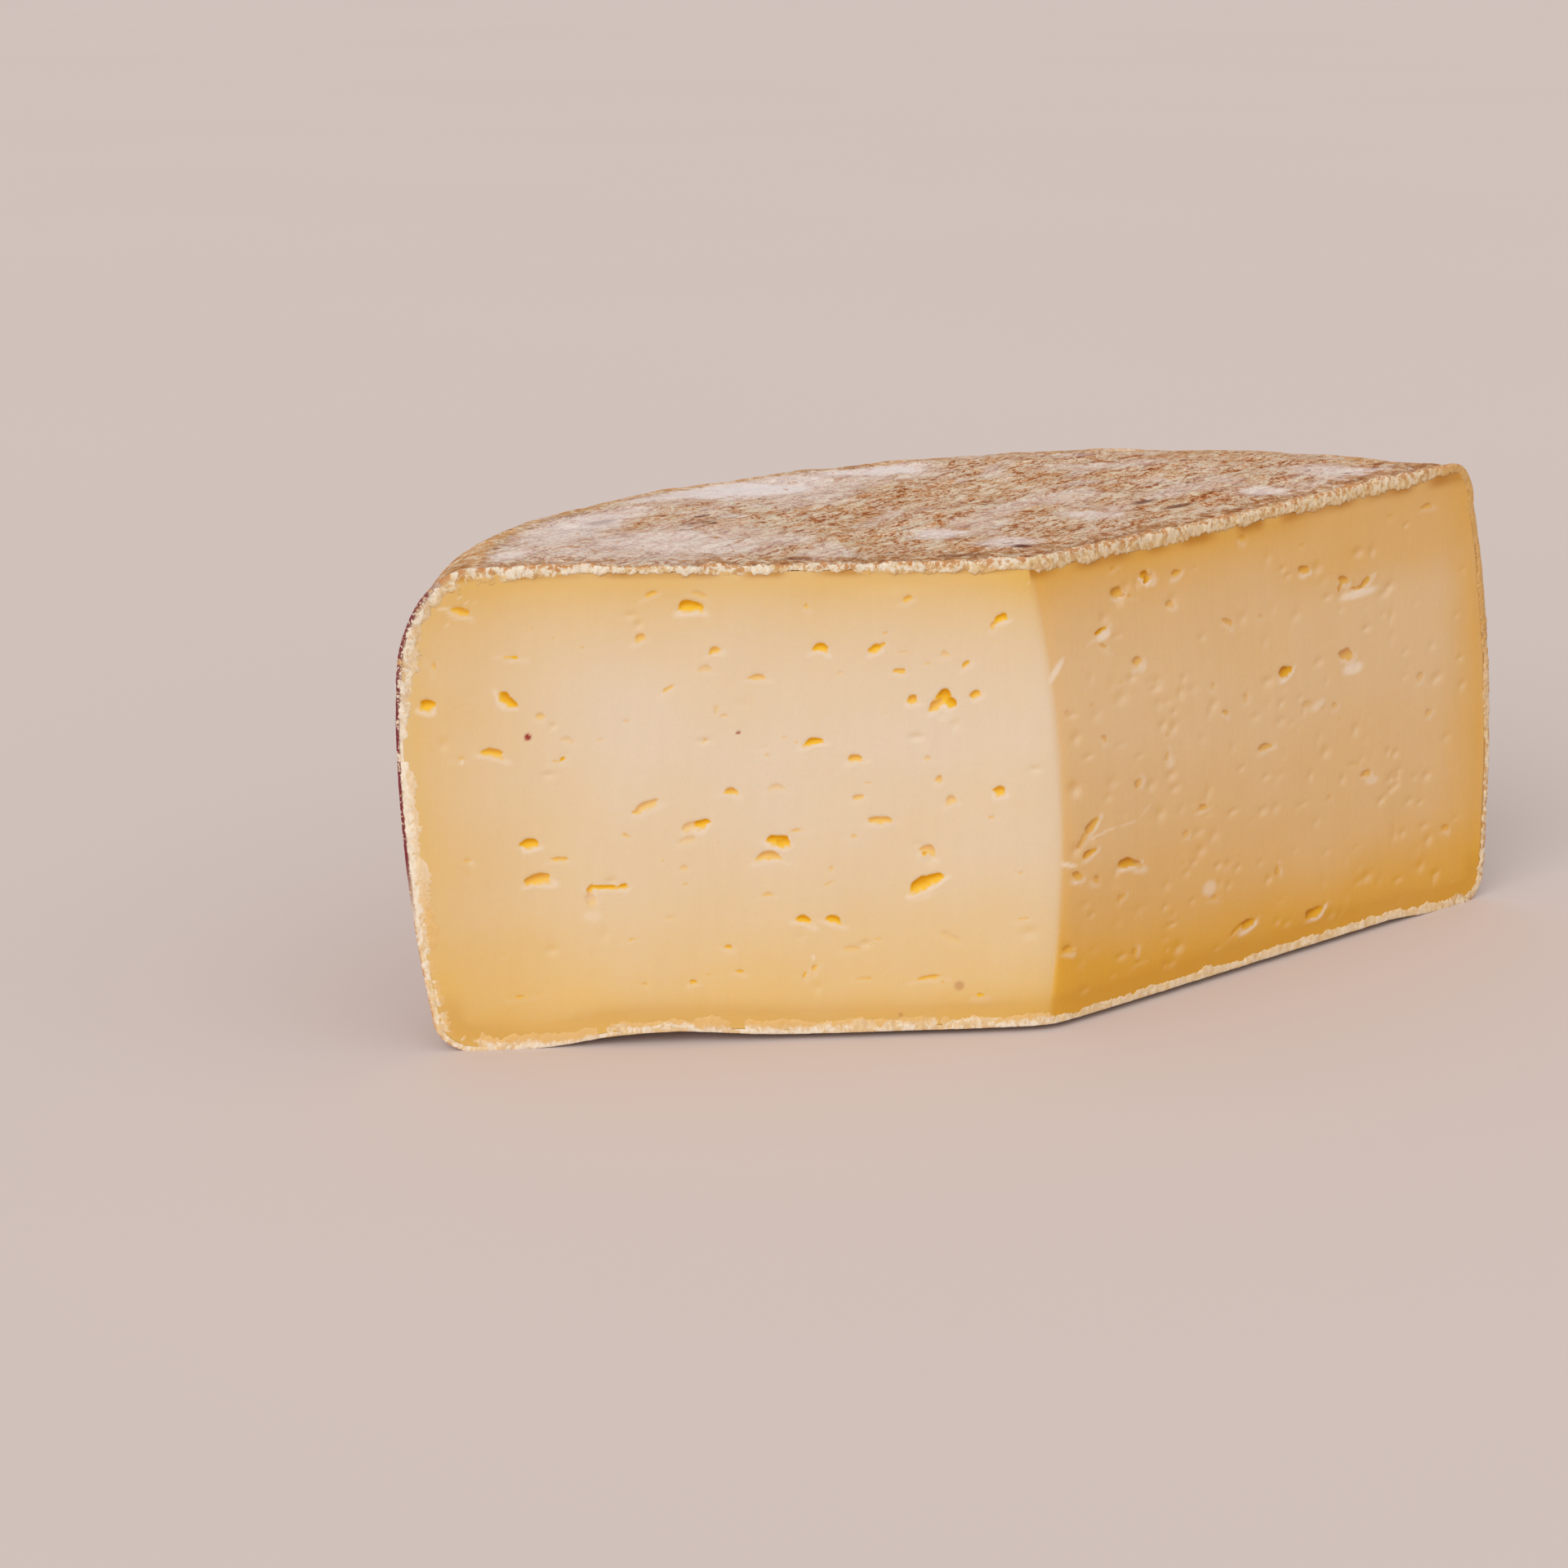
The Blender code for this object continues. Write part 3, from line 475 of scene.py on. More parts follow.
def eye_field(across, up, cut):
    """(depth, gap, side, strength, lip) of the eyes at points of a cut face.

    Each eye is an ellipse turned by its tilt, its ends bent down by a square and its radius 1 plus a few
    seeded lobes. The gap is the distance inside its outline, in widths of the outline's own step. The side
    runs from -1, away from the light, where the wall is steep and its colour is painted shade, to 1, towards
    the light, where the floor rises to a soft lip with a painted highlight: a bell of the distance outside
    the outline.
    """
    draw = np.random.default_rng(11 + cut.right)
    depth, gap, side, strength, pale_and_highlight = np.zeros((5, *across.shape))
    gap += NO_EYE
    for row in cut.eyes:
        width, height, deep = row[2], row[3], row[5]
        bend = row[6] if len(row) > 6 else BEND
        phases = draw.uniform(0.0, 2.0 * math.pi, len(EYE_LUMPS))
        near = np.maximum(np.abs(across - row[0]), np.abs(up - row[1])) < width / 2 + EYE_REACH
        along, above = turned_round(across[near], up[near], row, cut)
        above = above + bend * (np.minimum(along**2, BEND_MOST) - BEND_LEVEL)
        angle = np.arctan2(above, along)
        lobes = 1.0 + sum(share * np.sin(k * angle + phases[k]) for k, share in enumerate(EYE_LUMPS))
        far = np.hypot(along, above) / lobes + TINY
        steep = np.hypot(along * 2.0 / width, above * 2.0 / height) / far + TINY
        inside = np.maximum((1.0 - far) / steep + EYE_GROWN, -EYE_REACH)
        lit = np.clip((along * cut.fade[0] + above * cut.fade[1]) / far * np.minimum(far, 1.0), -1.0, 1.0)
        gentle = ease(0.5 + 0.5 * lit)
        widths = inside / (EYE_CRISP + EYE_SOFT * height * gentle**2)
        wall = ease((inside + WALL_OUT) / (EYE_WALL + EYE_SLOPE * height * gentle))
        pit = (EYE_DEPTH * height + EYE_LEAST_DEPTH) * min(1.0, mix((EYE_FAINT, 1.0), deep)) * wall
        depth[near] = np.maximum(depth[near], pit)
        # A painted highlight on the eye's lip, on the side towards the light.
        outside = bell(inside + HIGHLIGHT_PLACE, HIGHLIGHT_WIDTH) * ease(lit * 1.2)
        pale_and_highlight[near] = np.maximum(pale_and_highlight[near], deep * outside * min(1.0, height / HIGHLIGHT_FULL))
        closer = widths > gap[near]
        for field, value in ((gap, widths), (side, lit), (strength, deep)):
            field[near] = np.where(closer, value, field[near])
    return depth, gap, side, strength, pale_and_highlight


def mark_field(across, up, cut):
    """How white the pale marks make the paste, crumbs and threads and painted highlights on the lit walls of
    eyes: an ellipse each, with a soft edge.
    """
    white = np.zeros(across.shape)
    for row in cut.marks:
        far = np.hypot(*turned_round(across, up, row, cut))
        white = np.maximum(white, row[5] * ramp(far, *MARK_EDGE))
    return white


def speck_field(across, up, cut):
    """How strongly the specks colour the paste: a soft-edged spot each."""
    found = np.zeros(across.shape)
    for place, height, radius, strength in cut.specks:
        far = np.hypot(across - place, up - height) / radius
        found = np.maximum(found, strength * ramp(far, *SPECK_EDGE))
    return found


def dent_field(across, up, cut):
    """(depth, pale_and_highlight) of shallow dents scattered over a cut: a bell each, and its slope towards
    the light, painted as highlight on the lit slope and as shade on the other.
    """
    draw = np.random.default_rng(21 + cut.right)
    depth, pale_and_highlight = np.zeros((2, *across.shape))
    for place, height, wide, tall, deep in draw.uniform(DENT_LEAST, DENT_MOST, (cut.dents, 5)):
        near = (np.abs(across - place) < 3.0 * wide) & (np.abs(up - height) < 3.0 * tall)
        x, y = (across[near] - place) / wide, (up[near] - height) / tall
        dent = deep * bell(np.hypot(x, y))
        depth[near] += dent
        # The dent's slope towards the light, painted later as highlight and shade.
        pale_and_highlight[near] += 2.0 * dent * (x * cut.fade[0] + y * cut.fade[1])
    return depth, pale_and_highlight


def gap_to(across, up, line):
    """Distance from each point of a grid to the nearest point of a line."""
    return np.stack([
        np.sqrt(((a[:, None] - line[:, 0]) ** 2 + (b[:, None] - line[:, 1]) ** 2).min(axis=1))
        for a, b in zip(across, up)
    ])


# ---- The paste
PASTE_ROWS, PASTE_LEFT, PASTE_RIGHT, PASTE_BACK = 205, 285, 170, 14
OUTLINE_POINTS = 420
CAP_SHARE = 0.6  # how far out the middle ring of each end lies
DENT_HIGHLIGHT, DENT_SHADE = 1.6, 1.0  # painted highlight on the dents' slopes towards the light and painted golden shade on those away from it, a millimetre of depth
EDGE_TURN = 1.8  # width in which the colours of the two cuts meet at the cut edge
FOOT_SHADE = 0.22  # how brown the paste is by the foot's crumbs
FLAT_SHIFT = (0.83, 0.36)  # how far the tables' places move, a millimetre that a face lies behind its plane
SLOW_WAVE, FINE_WAVE = (0.10, 19.0), (0.03, 3.0)  # height and length of the waves that the wire left
WAVE_STRETCH = (1.0, 0.25)


def golden_share(across, up, inside, cut):
    """How golden the paste is: 1 less the product of what the top, the foot, the rim and the rind leave pale.

    It is least a little above the middle. By the cut edge it is a little more again, near the top on the left
    cut and all the way down on the right. The right cut's top is golden deeper down towards the rim. The
    numbers are strengths, and the millimetres over which each works.
    """
    slow = 0.05 * waves(np.stack([across, up], axis=-1), 24.0, 51)
    from_top = (63.0 - up).clip(0)
    if cut.right:
        far = ramp(across, 10.0, 55.0)
        far_top = ramp(across, 46.0, 56.0) * ramp(up, 51.0, 55.0)
        near_edge, near_rim = 0.68 * np.exp(-((from_top / 6.5) ** 1.2)), 0.47 * ramp(from_top, 14.0, 6.0)
        top = mix((near_edge, near_rim), ramp(across, 40.0, 54.0))
        foot = 0.0215 * (38.0 - up).clip(0) * (1.0 - 0.3 * far) + (0.35 + 0.08 * far) * ramp(up, 16.5, 4.5)
        rim = 0.35 * ramp(across, 76.0, 85.0)
        rind = 0.5 * fall(inside, 2.4) * (1.0 - 0.85 * far_top)
        edge = 0.22 * fall(across, 2.0) * (1.0 - top) + 0.35 * fall(across, 5.0) * fall(up - 4.0, 7.0)
        edge = edge * ease(0.3 + across.clip(0))
    else:
        drop = (40.0 - up).clip(0)
        top = 0.69 * np.exp(-((from_top / (7.5 + 1.2 * ramp(across, 45.0, 25.0))) ** 1.2))
        foot = 0.0110 * drop + 9.0e-6 * drop**3
        rim = 0.020 * (across - 57.5).clip(0)
        rind = 0.3 * fall(inside, 1.5)
        edge = 0.22 * bell(across, 6.0) * bell(from_top, 7.0)
    pale = (1.0 - top) * (1.0 - foot) * (1.0 - rim) * (1.0 - rind) - edge
    return np.clip(1.0 - pale + slow, 0.0, 1.3)


def under_top(across, drop, cut):
    """Painted shade on the paste: a deep golden brown painted shadow in an uneven line under the top's
    crumbs, stronger on the right, a weak painted shade fading down from the top, and on the left cut darker
    towards the rim.
    """
    start, reach_down, strength = (1.6, 1.0, 0.75) if cut.right else (0.8, 0.6, 0.6)
    uneven = np.clip(0.6 + 0.8 * waves(across[..., None], 9.0, 55), 0.0, 1.0)
    line = strength * uneven * np.exp(-(((drop - start).clip(0) / reach_down) ** 2.5))
    rim = 0.0 if cut.right else 0.10 * ramp(across, 62.0, 78.0)
    return line + 0.10 * bell(drop, 10.0) + rim


def cut_face(plan, up, top, edge, cut):
    """(how far a cut is pressed in, its points' values by name).

    The tables' places are on flat planes. The leaning edge twists the right cut a little way behind its own.
    """
    across, past = plan @ cut.way, (plan - edge) @ cut.way
    sunk = np.abs(plan @ cut.normal)
    flat = across - FLAT_SHIFT[0] * sunk, up + FLAT_SHIFT[1] * sunk
    depth, gap, side, strength, pale_and_highlight = eye_field(*flat, cut)
    dent, slope = dent_field(across, up, cut)
    place = np.stack([across, up], axis=-1)
    wave = SLOW_WAVE[0] * waves(place, SLOW_WAVE[1], 31 + cut.right)
    wave = wave + FINE_WAVE[0] * waves(place * WAVE_STRETCH, FINE_WAVE[1], 41 + cut.right)
    rind_line = skin(1.0 - cut.right, np.linspace(0.0, 3.0, OUTLINE_POINTS), RIND)
    inside = gap_to(across, up, np.column_stack([rind_line[:, :2] @ cut.way, rind_line[:, 2]]))
    clear = ramp(inside, 0.0, 2.0)
    by_foot = FOOT_SHADE * fall(inside - 1.0, 1.2) * ramp(up, 9.0, 5.0)
    # The golden value also holds painted shade on the dents' slopes away from the light; the value of pale
    # marks holds painted highlights below the eyes and on the dents' lit slopes; the shade value holds
    # painted shadow under the top's crumbs.
    return depth + (dent - wave) * clear - LIP_HEIGHT * pale_and_highlight, {
        "golden": golden_share(past, up, inside, cut) + DENT_SHADE * (-slope).clip(0) * clear,
        "turned": ease(0.5 + (past if cut.right else -past) / EDGE_TURN),
        "eye_gap": gap,
        "eye_side": side,
        "eye_strength": strength,
        "pale_and_highlight": np.maximum(np.maximum(pale_and_highlight, mark_field(*flat, cut)), DENT_HIGHLIGHT * slope * clear),
        "speck": speck_field(*flat, cut),
        "shade": under_top(across, top - up, cut) + by_foot,
    }


def paste_piece(material):
    """The paste: rings round the wedge from its foot to its top, at TUCK under the skin.

    Each ring runs along the left cut to the cut edge, along the right cut, and back round the rim. Both cuts
    are pressed in by the eyes and dents, and the cut edge is rounded.
    """
    t = np.linspace(0.0, 1.0, steps(PASTE_ROWS))[:, None]
    left, right = rim_point(1.0, t, TUCK), rim_point(0.0, t, TUCK)
    edge = np.concatenate([edge_place(t), t[..., None]], axis=-1)
    along_left = np.linspace(0.0, 1.0, steps(PASTE_LEFT) + 1)[:-1, None]
    along_right = np.linspace(0.0, 1.0, steps(PASTE_RIGHT) + 1)[:, None]
    back = rim_point(*np.broadcast_arrays(np.linspace(0.0, 1.0, PASTE_BACK + 1)[1:-1], t), TUCK)
    rings = np.concatenate([mix((left, edge), along_left), mix((edge, right), along_right), back], axis=1)
    plan, top = rings[..., :2], top_height(rings[..., :2])
    up = mix((under_height(plan) + TUCK, top - TUCK), rings[..., 2])
    split = len(along_left)
    moved, parts = plan.copy(), []
    for columns, cut in zip((slice(0, split), slice(split, split + len(along_right))), CUTS):
        at = plan[:, columns], up[:, columns], top[:, columns]
        press, found = cut_face(*at, edge[..., :2], cut)
        moved[:, columns] += press[..., None] * cut.normal
        parts.append(found)
    rings = edge_rounded(np.concatenate([moved, up[..., None]], axis=-1))

    rows, columns = len(rings) + 2, rings.shape[1]
    middle = rings[0, :, :2].mean(axis=0)
    under, over = (mix((middle, ring[:, :2]), CAP_SHARE) for ring in (rings[0], rings[-1]))
    low, high = (
        np.column_stack([flat, height + lift])
        for flat, height, lift in ((under, under_height(under), RIND), (over, top_height(over), -RIND))
    )
    poles = [[*middle, under_height(middle) + RIND], [*middle, top_height(middle) - RIND]]
    points = np.concatenate([low, rings.reshape(-1, 3), high, poles])
    loop = np.arange(columns)
    faces = [grid_quads(rows, columns), *cap(loop, rows * columns, True)]
    faces += cap(loop + (rows - 1) * columns, rows * columns + 1, False)
    values = {}
    for name in parts[0]:
        behind = np.full(back.shape[:2], NO_EYE if name == "eye_gap" else 0.0)
        shown = np.concatenate([parts[0][name], parts[1][name], behind], axis=1)
        values[name] = np.concatenate([np.zeros(columns), shown.reshape(-1), np.zeros(columns + 2)])
    make_piece("cheese_paste", points, faces, material, values)


# ---- The rind
RIND_COLUMNS, UNDER_ROWS, RIM_ROWS, TOP_ROWS, INNER_COLUMNS = 330, 46, 84, 132, 10
CUT_BACK, CUT_BACK_RUN = 0.45, 0.8  # how far the rind's own edge lies behind the cut, under the crumbled rim
DRAWN = (0.6, 1.0, 1.0)  # the rind's wrinkles and patches are drawn out along X
# White blooms of the top, and its dark pits and slits: X, Y, width, height, turn in degrees, strength.
BLOOMS = (
    (-38, 48, 34, 14, 18, 1), (-18, 58, 22, 8, 8, 1), (-58, 30, 20, 10, 38, 0.8), (-13, 19, 9, 6, -20, 0.8),
    (-5, 11, 9, 5, 25, 0.7), (8, 27, 9, 5, -30, 0.7), (35, 37, 7, 5, 0, 0.7), (48, 47, 18, 9, -20, 0.7),
    (18, 58, 24, 6, 0, 0.5), (-64, 20, 18, 12, 60, 0.7), (-71, 9, 10, 5, 20, 0.7),
    (-52, 15, 36, 20, 10, 0.65), (2, 37, 6, 4, 0, 0.5), (-28, 43, 14, 6, 20, 0.5),
)
PITS = (
    (-3.5, 8.5, 2.6, 1.6, 0, 1), (17, 33, 5.5, 1.5, 40, 0.8), (21, 30, 5, 1.4, 30, 0.8),
    (-58, 29, 6, 2.2, 40, 0.4), (-33, 5.5, 4, 1.6, 5, 0.6), (-12, 5, 7, 1.2, -4, 0.5),
    (-45, 27, 7, 1.2, 30, 0.4),
)
BLOOM_BROKEN, PIT_BROKEN, PATCH_EDGE = 0.9, 0.4, (1.5, 0.3)  # how far noise breaks up their soft outlines
RIDGES, SWELLS, FINE_FOLDS = (0.16, 4.2), (0.14, 9.0), (0.08, 1.5)  # height and length of the relief's layers
RIDGE_SHARP, RELIEF_FADE = 2.2, 0.05
# Where the rind's colours start and are full: in row order, and in millimetres from a cut or along X.
TOP_BAND, FLANK_BAND, FLANK_END, SHOULDER_BAND = (1.9, 2.05), (0.9, 1.05), (2.045, 1.995), (1.78, 1.92)
FLANK_SHARE = (0.58, 0.42)  # of its strength: all over, and more on the shoulder
NEAR_CUT, FRINGE_RIGHT, FRINGE_LEFT, FRINGE_SHARE = (9.0, 3.0), (3.2, 0.0), (2.2, 0.0), 0.8
FAR_END, FAR_END_SHARE = (-35.0, -47.0), 0.6  # the left cut's worn edge is weaker at its far end


def behind_cuts(points):
    """Moves points near the two cuts a little way into the cheese."""
    moved = points.copy()
    for past, normal in zip(inside_cuts(points), (LEFT_NORMAL, RIGHT_NORMAL)):
        moved[..., :2] += CUT_BACK * fall(past, CUT_BACK_RUN)[..., None] * normal
    return moved


def patch_field(points, patches, broken):
    """How strongly patches mark the top: a soft-edged ellipse each, with an outline broken up by noise."""
    ragged = broken * rough(points * DRAWN, 8.0, 131, 6, 0.8)
    found = np.zeros(points.shape[:-1])
    for x, y, width, height, turn, strength in patches:
        out = points[..., :2] - (x, y)
        far = np.hypot(out @ unit(turn) * 2.0 / width, out @ unit(turn + 90.0) * 2.0 / height) + ragged
        found = np.maximum(found, strength * ramp(far, *PATCH_EDGE))
    return found


def rind_relief(points):
    """Height of the rind's wrinkles: layers of drawn-out noise, with low ground between worn ridges."""
    drawn = points * DRAWN
    relief = RIDGES[0] * (1.0 - np.abs(rough(drawn, RIDGES[1], 61)) * RIDGE_SHARP)
    relief = relief + SWELLS[0] * rough(drawn, SWELLS[1], 71, 2)
    return relief + FINE_FOLDS[0] * rough(drawn, FINE_FOLDS[1], 81, 2)


def with_poles(grid):
    """A grid's points in a list, with the two outer and inner poles of its first and last rows at the end."""
    return np.concatenate([grid[1:-1].reshape(-1, *grid.shape[2:]), grid[[0, 0, -1, -1], [0, -1, 0, -1]]])


def rind_piece(material):
    """The rind as one closed shell with a coarser inner side.

    Its section, swept from the right cut round to the left, is a C: it runs from the foot of the cut edge
    under the wedge, up the rim and back over the top.
    """
    parts = [steps(rows) for rows in (UNDER_ROWS, RIM_ROWS, TOP_ROWS)]
    row = np.interp(np.arange(sum(parts) + 1), np.cumsum([0, *parts]), np.arange(4.0))[:, None]
    shares = np.linspace(0.0, 1.0, steps(RIND_COLUMNS) + 1)
    outer = skin(shares, row, 0.0)
    inner = skin(np.linspace(1.0, 0.0, INNER_COLUMNS + 1), row, RIND)
    relief = rind_relief(outer) * ramp(np.minimum(row, 3.0 - row), 0.0, RELIEF_FADE)
    outer = outer - normals_of(outer) * relief[..., None]

    on_top = ramp(row, *TOP_BAND)
    flank = ramp(row, *FLANK_BAND) * ramp(row, *FLANK_END)
    flank = flank * (FLANK_SHARE[0] + FLANK_SHARE[1] * ramp(row, *SHOULDER_BAND))
    past_left, past_right = inside_cuts(outer)
    near_cut = ramp(np.minimum(past_left, past_right), *NEAR_CUT)
    fringe = np.maximum(ramp(past_right, *FRINGE_RIGHT), FRINGE_SHARE * ramp(past_left, *FRINGE_LEFT))
    values = {
        "bloom": patch_field(outer, BLOOMS, BLOOM_BROKEN) * on_top,
        "pits": patch_field(outer, PITS, PIT_BROKEN) * on_top,
        "flank": np.broadcast_to(flank, outer.shape[:2]),
        "near_cut": near_cut * (1.0 - FAR_END_SHARE * ramp(outer[..., 0], *FAR_END)),
        "fringe": fringe * on_top,
    }
    inside = np.zeros(inner.shape[:2])
    values = {name: with_poles(np.concatenate([value, inside], axis=1)) for name, value in values.items()}

    grid = edge_rounded(behind_cuts(np.concatenate([outer, inner], axis=1)))
    rows, columns = len(grid) - 2, grid.shape[1]
    loop, pole = np.arange(columns), rows * columns + (np.arange(columns) >= len(shares))
    faces = [grid_quads(rows, columns), *cap(loop, pole, True)]
    faces += cap(loop + (rows - 1) * columns, pole + 2, False)
    make_piece("rind", with_poles(grid), faces, material, values)


# ---- The cut rim of the rind
CRUMB_PATH, CRUMB_ROUND = 2500, 36
CRUMB_SEAT, CRUMB_SINK = 0.25, 0.95  # how far its middle lies behind the cut, and reaches behind that
CRUMB_POWER = 0.55  # of the superellipse: 1 is an ellipse, and less is squarer
CRUMB_RIM, CRUMB_TOP, CRUMB_UNDER = (0.75, 1.95), (0.85, -1.05), (0.45, -0.25)  # width, and what is added
CRUMB_LEAST, CRUMB_MOST, CRUMB_MORE = 0.45, 3.0, 0.1
NARROW_BY, NARROW_BAND = 0.8, (70.0, 79.0)  # the top's right rim is narrower at its far end
WIDEN_BY, WIDEN_BAND = 0.6, (-30.0, -8.0)  # the top's left rim is wider by the cut edge
RAGGED, RAGGED_MORE, CRUMB_STRETCH = 1.5, 0.7, (1.0, 2.0, 1.0)  # more on the left rim
SPILL, SPILL_UNDER, SPILL_RAGGED = 0.3, 0.2, 0.55  # past the outline: all round, less under, ragged on top
SPILL_LEAST, SPILL_MOST = 0.02, 0.8
BULGE_RIM, BULGE_TOP, BULGE_RAGGED = (0.14, 0.06), (0.20, 0.10), 0.16
# The left rim is crumbly above this band of heights, the right rim partly, and more below the band.
CRUMBLY_BAND, CRUMBLY_RIGHT = (40.0, 54.0), (0.4, 0.5)
CRUMB_BUMP, CRUMBLY_BUMP, FIBRE_BUMP = 0.06, (0.16, 0.14), 0.07
GOLDEN_BAND = (24.0, 46.0)  # height of the right rim
SKIN_START, SKIN_END = (1.25, 1.45), (1.97, 1.91)  # row order on the left rim


def smoothed(values, width):
    """Values along a closed path, averaged with a bell of this width in steps."""
    half = int(3 * width) + 1
    places = np.arange(-half, half + 1)
    weights = bell(places, width)
    return sum(w * np.roll(values, k, axis=0) for k, w in zip(places, weights / weights.sum()))


def cut_path(count):
    """The rind's outline round both cuts as one closed path of evenly spaced points.

    It runs along the foot of the left cut, up the rim, over the top to the cut edge and on over the right
    cut, down its rim and back along its foot. Returns the points, the directions out of the cuts and into
    the outline, the place in row order, whether the point is on the left cut, and the distance run.
    """
    fine = np.linspace(0.0, 3.0, 6 * count)[:-1]
    row, is_left = np.concatenate([fine, 3.0 - fine]), np.repeat([1.0, 0.0], len(fine))
    line = skin(is_left, row, 0.0)
    run = np.concatenate([[0.0], np.cumsum(np.linalg.norm(np.diff(line, axis=0), axis=1))])
    evenly = np.linspace(0.0, run[-1], count + 1)[:-1]
    x, y, z, row, is_left = (np.interp(evenly, run, values) for values in (*line.T, row, is_left))
    points = np.column_stack([x, y, z])
    spacing = run[-1] / count
    tangent = smoothed(np.roll(points, -1, axis=0) - np.roll(points, 1, axis=0), 1.0 / spacing)
    out = np.where(is_left[:, None] > 0.5, [*-LEFT_NORMAL, 0.0], [*-RIGHT_NORMAL, 0.0])
    out = normalised(smoothed(out, 1.5 / spacing))
    return points, out, normalised(np.cross(tangent, out)), row, is_left, evenly


def crumb_piece(material):
    """The crumbled rim of the rind: a flattened superellipse carried round both cuts.

    Its width follows the rind's, plus noise along the path, and it spills a little past the cut's outline.
    Layers of noise push its surface in and out.
    """
    points, out, into, row, is_left, run = cut_path(steps(CRUMB_PATH))
    is_right, height = 1.0 - is_left, points[:, 2]
    top, under = ramp(row, 2.0, 2.1), ramp(row, 1.0, 0.9)
    rim = (1.0 - top) * (1.0 - under)
    width = mix(CRUMB_RIM, is_left) + top * mix(CRUMB_TOP, is_left) + under * mix(CRUMB_UNDER, is_left)
    width = width - NARROW_BY * top * is_right * ramp(points[:, :2] @ RIGHT_WAY, *NARROW_BAND)
    width = width + WIDEN_BY * top * is_left * ramp(points[:, 0], *WIDEN_BAND)
    place = points * CRUMB_STRETCH
    ragged = RAGGED * rough(place, 6.0, 91, 6, 0.8) * (1.0 + RAGGED_MORE * rim * is_left)
    width = np.clip(width + ragged, CRUMB_LEAST, CRUMB_MOST) + CRUMB_MORE
    bulge = mix(BULGE_RIM, is_left) + top * mix(BULGE_TOP, is_left) + BULGE_RAGGED * rough(place, 3.0, 101)
    past = SPILL - SPILL_UNDER * under + SPILL_RAGGED * top * rough(place, 2.6, 141, 4, 0.8)
    past = np.clip(past, SPILL_LEAST, SPILL_MOST)

    turn = np.linspace(0.0, 2.0 * math.pi, steps(CRUMB_ROUND), endpoint=False)
    side, lift = (np.sign(wave) * np.abs(wave) ** CRUMB_POWER for wave in (np.cos(turn), np.sin(turn)))
    high = np.where(lift > 0, (bulge[:, None] + CRUMB_SEAT) * lift, CRUMB_SINK * lift) - CRUMB_SEAT
    inwards = ((width - past)[:, None] + (width + past)[:, None] * side) / 2
    grid = points[:, None] + into[:, None] * inwards[..., None] + out[:, None] * high[..., None]
    normal = normals_of(np.concatenate([grid[-1:], grid, grid[:1]]))[1:-1]
    on_right = CRUMBLY_RIGHT[0] + CRUMBLY_RIGHT[1] * ramp(height, *CRUMBLY_BAND[::-1])
    by_height = mix((on_right, ramp(height, *CRUMBLY_BAND)), is_left)
    crumbly = np.maximum(top, by_height) * (1.0 - under)
    fibre = np.stack(np.broadcast_arrays(run[:, None], inwards * 0.4, high * 0.4), axis=-1)
    bump = (CRUMB_BUMP + mix(CRUMBLY_BUMP, is_left) * crumbly)[:, None] * rough(grid, 1.6, 111, 4, 0.9)
    bump = bump + (FIBRE_BUMP * top * is_right)[:, None] * rough(fibre, 0.6, 121, 2)
    grid = grid + normal * (bump * ramp(high, -0.6, -0.2))[..., None]

    rows, columns = grid.shape[:2]
    faces = [grid_quads(rows, columns, ring=True)[:, [0, 3, 2, 1]]]
    by_row = {
        "left_side": is_left,
        "crumbly": crumbly,
        "golden_rim": is_right * rim * ramp(height, *GOLDEN_BAND),
        "skin_line": is_left * ramp(row, *SKIN_START) * ramp(row, *SKIN_END),
    }
    values = {name: np.repeat(value, columns) for name, value in by_row.items()}
    values["inwards"] = inwards.reshape(-1) / RIND
    make_piece("cut_rind", edge_rounded(grid).reshape(-1, 3), faces, material, values)


# ---- Colours
LEFT_PALE, LEFT_GOLD = (0.742, 0.593, 0.43), (0.76, 0.472, 0.112)
# The right cut's colours are more saturated and golden than the left's: painted shade with warm bounce light
# on that less lit cut.
RIGHT_PALE, RIGHT_GOLD = (0.735, 0.491, 0.255), (0.715, 0.365, 0.038)
# The first colour here is laid on where the shade value is: painted shadow under the top's crumbs, painted
# shade near the top, darker paste towards the left rim, and the brown by the foot's crumbs.
AMBER_SHADE, SPECK = (0.46, 0.17, 0.008), (0.30, 0.02, 0.01)
# The eyes' colours: lit on the side towards the light, in painted shade on the side away from it, and in
# deeper painted shade on the right cut.
EYE_LIT, EYE_SHADED, EYE_DEEP_SHADE = (0.84, 0.49, 0.02), (0.74, 0.33, 0.0), (0.52, 0.18, 0.001)
# Pale marks, and the painted highlights below the eyes and on the dents' lit slopes.
PALE_MARK_AND_HIGHLIGHT = (0.84, 0.70, 0.56)
RIND_GREY, RIND_MOULD, RIND_CREAM = (0.89, 0.695, 0.525), (0.86, 0.78, 0.77), (1.0, 0.85, 0.64)
RIND_TAN, RIND_STAIN, RIND_WORN = (0.77, 0.47, 0.25), (0.78, 0.32, 0.09), (0.57, 0.265, 0.10)
RIND_CREASE, RIND_BROWN = (0.60, 0.18, 0.04), (0.34, 0.088, 0.022)
RIND_FLANK, RIND_SHOULDER = (0.67, 0.385, 0.20), (0.78, 0.40, 0.15)
RIND_DARK = (0.14, 0.028, 0.022)
CRUMB_CREAM, CRUMB_WHITE, CRUMB_GOLD = (0.80, 0.59, 0.33), (0.89, 0.80, 0.66), (0.74, 0.45, 0.15)
CRUMB_ORANGE, CRUMB_TAN = (0.62, 0.34, 0.10), (0.60, 0.32, 0.11)
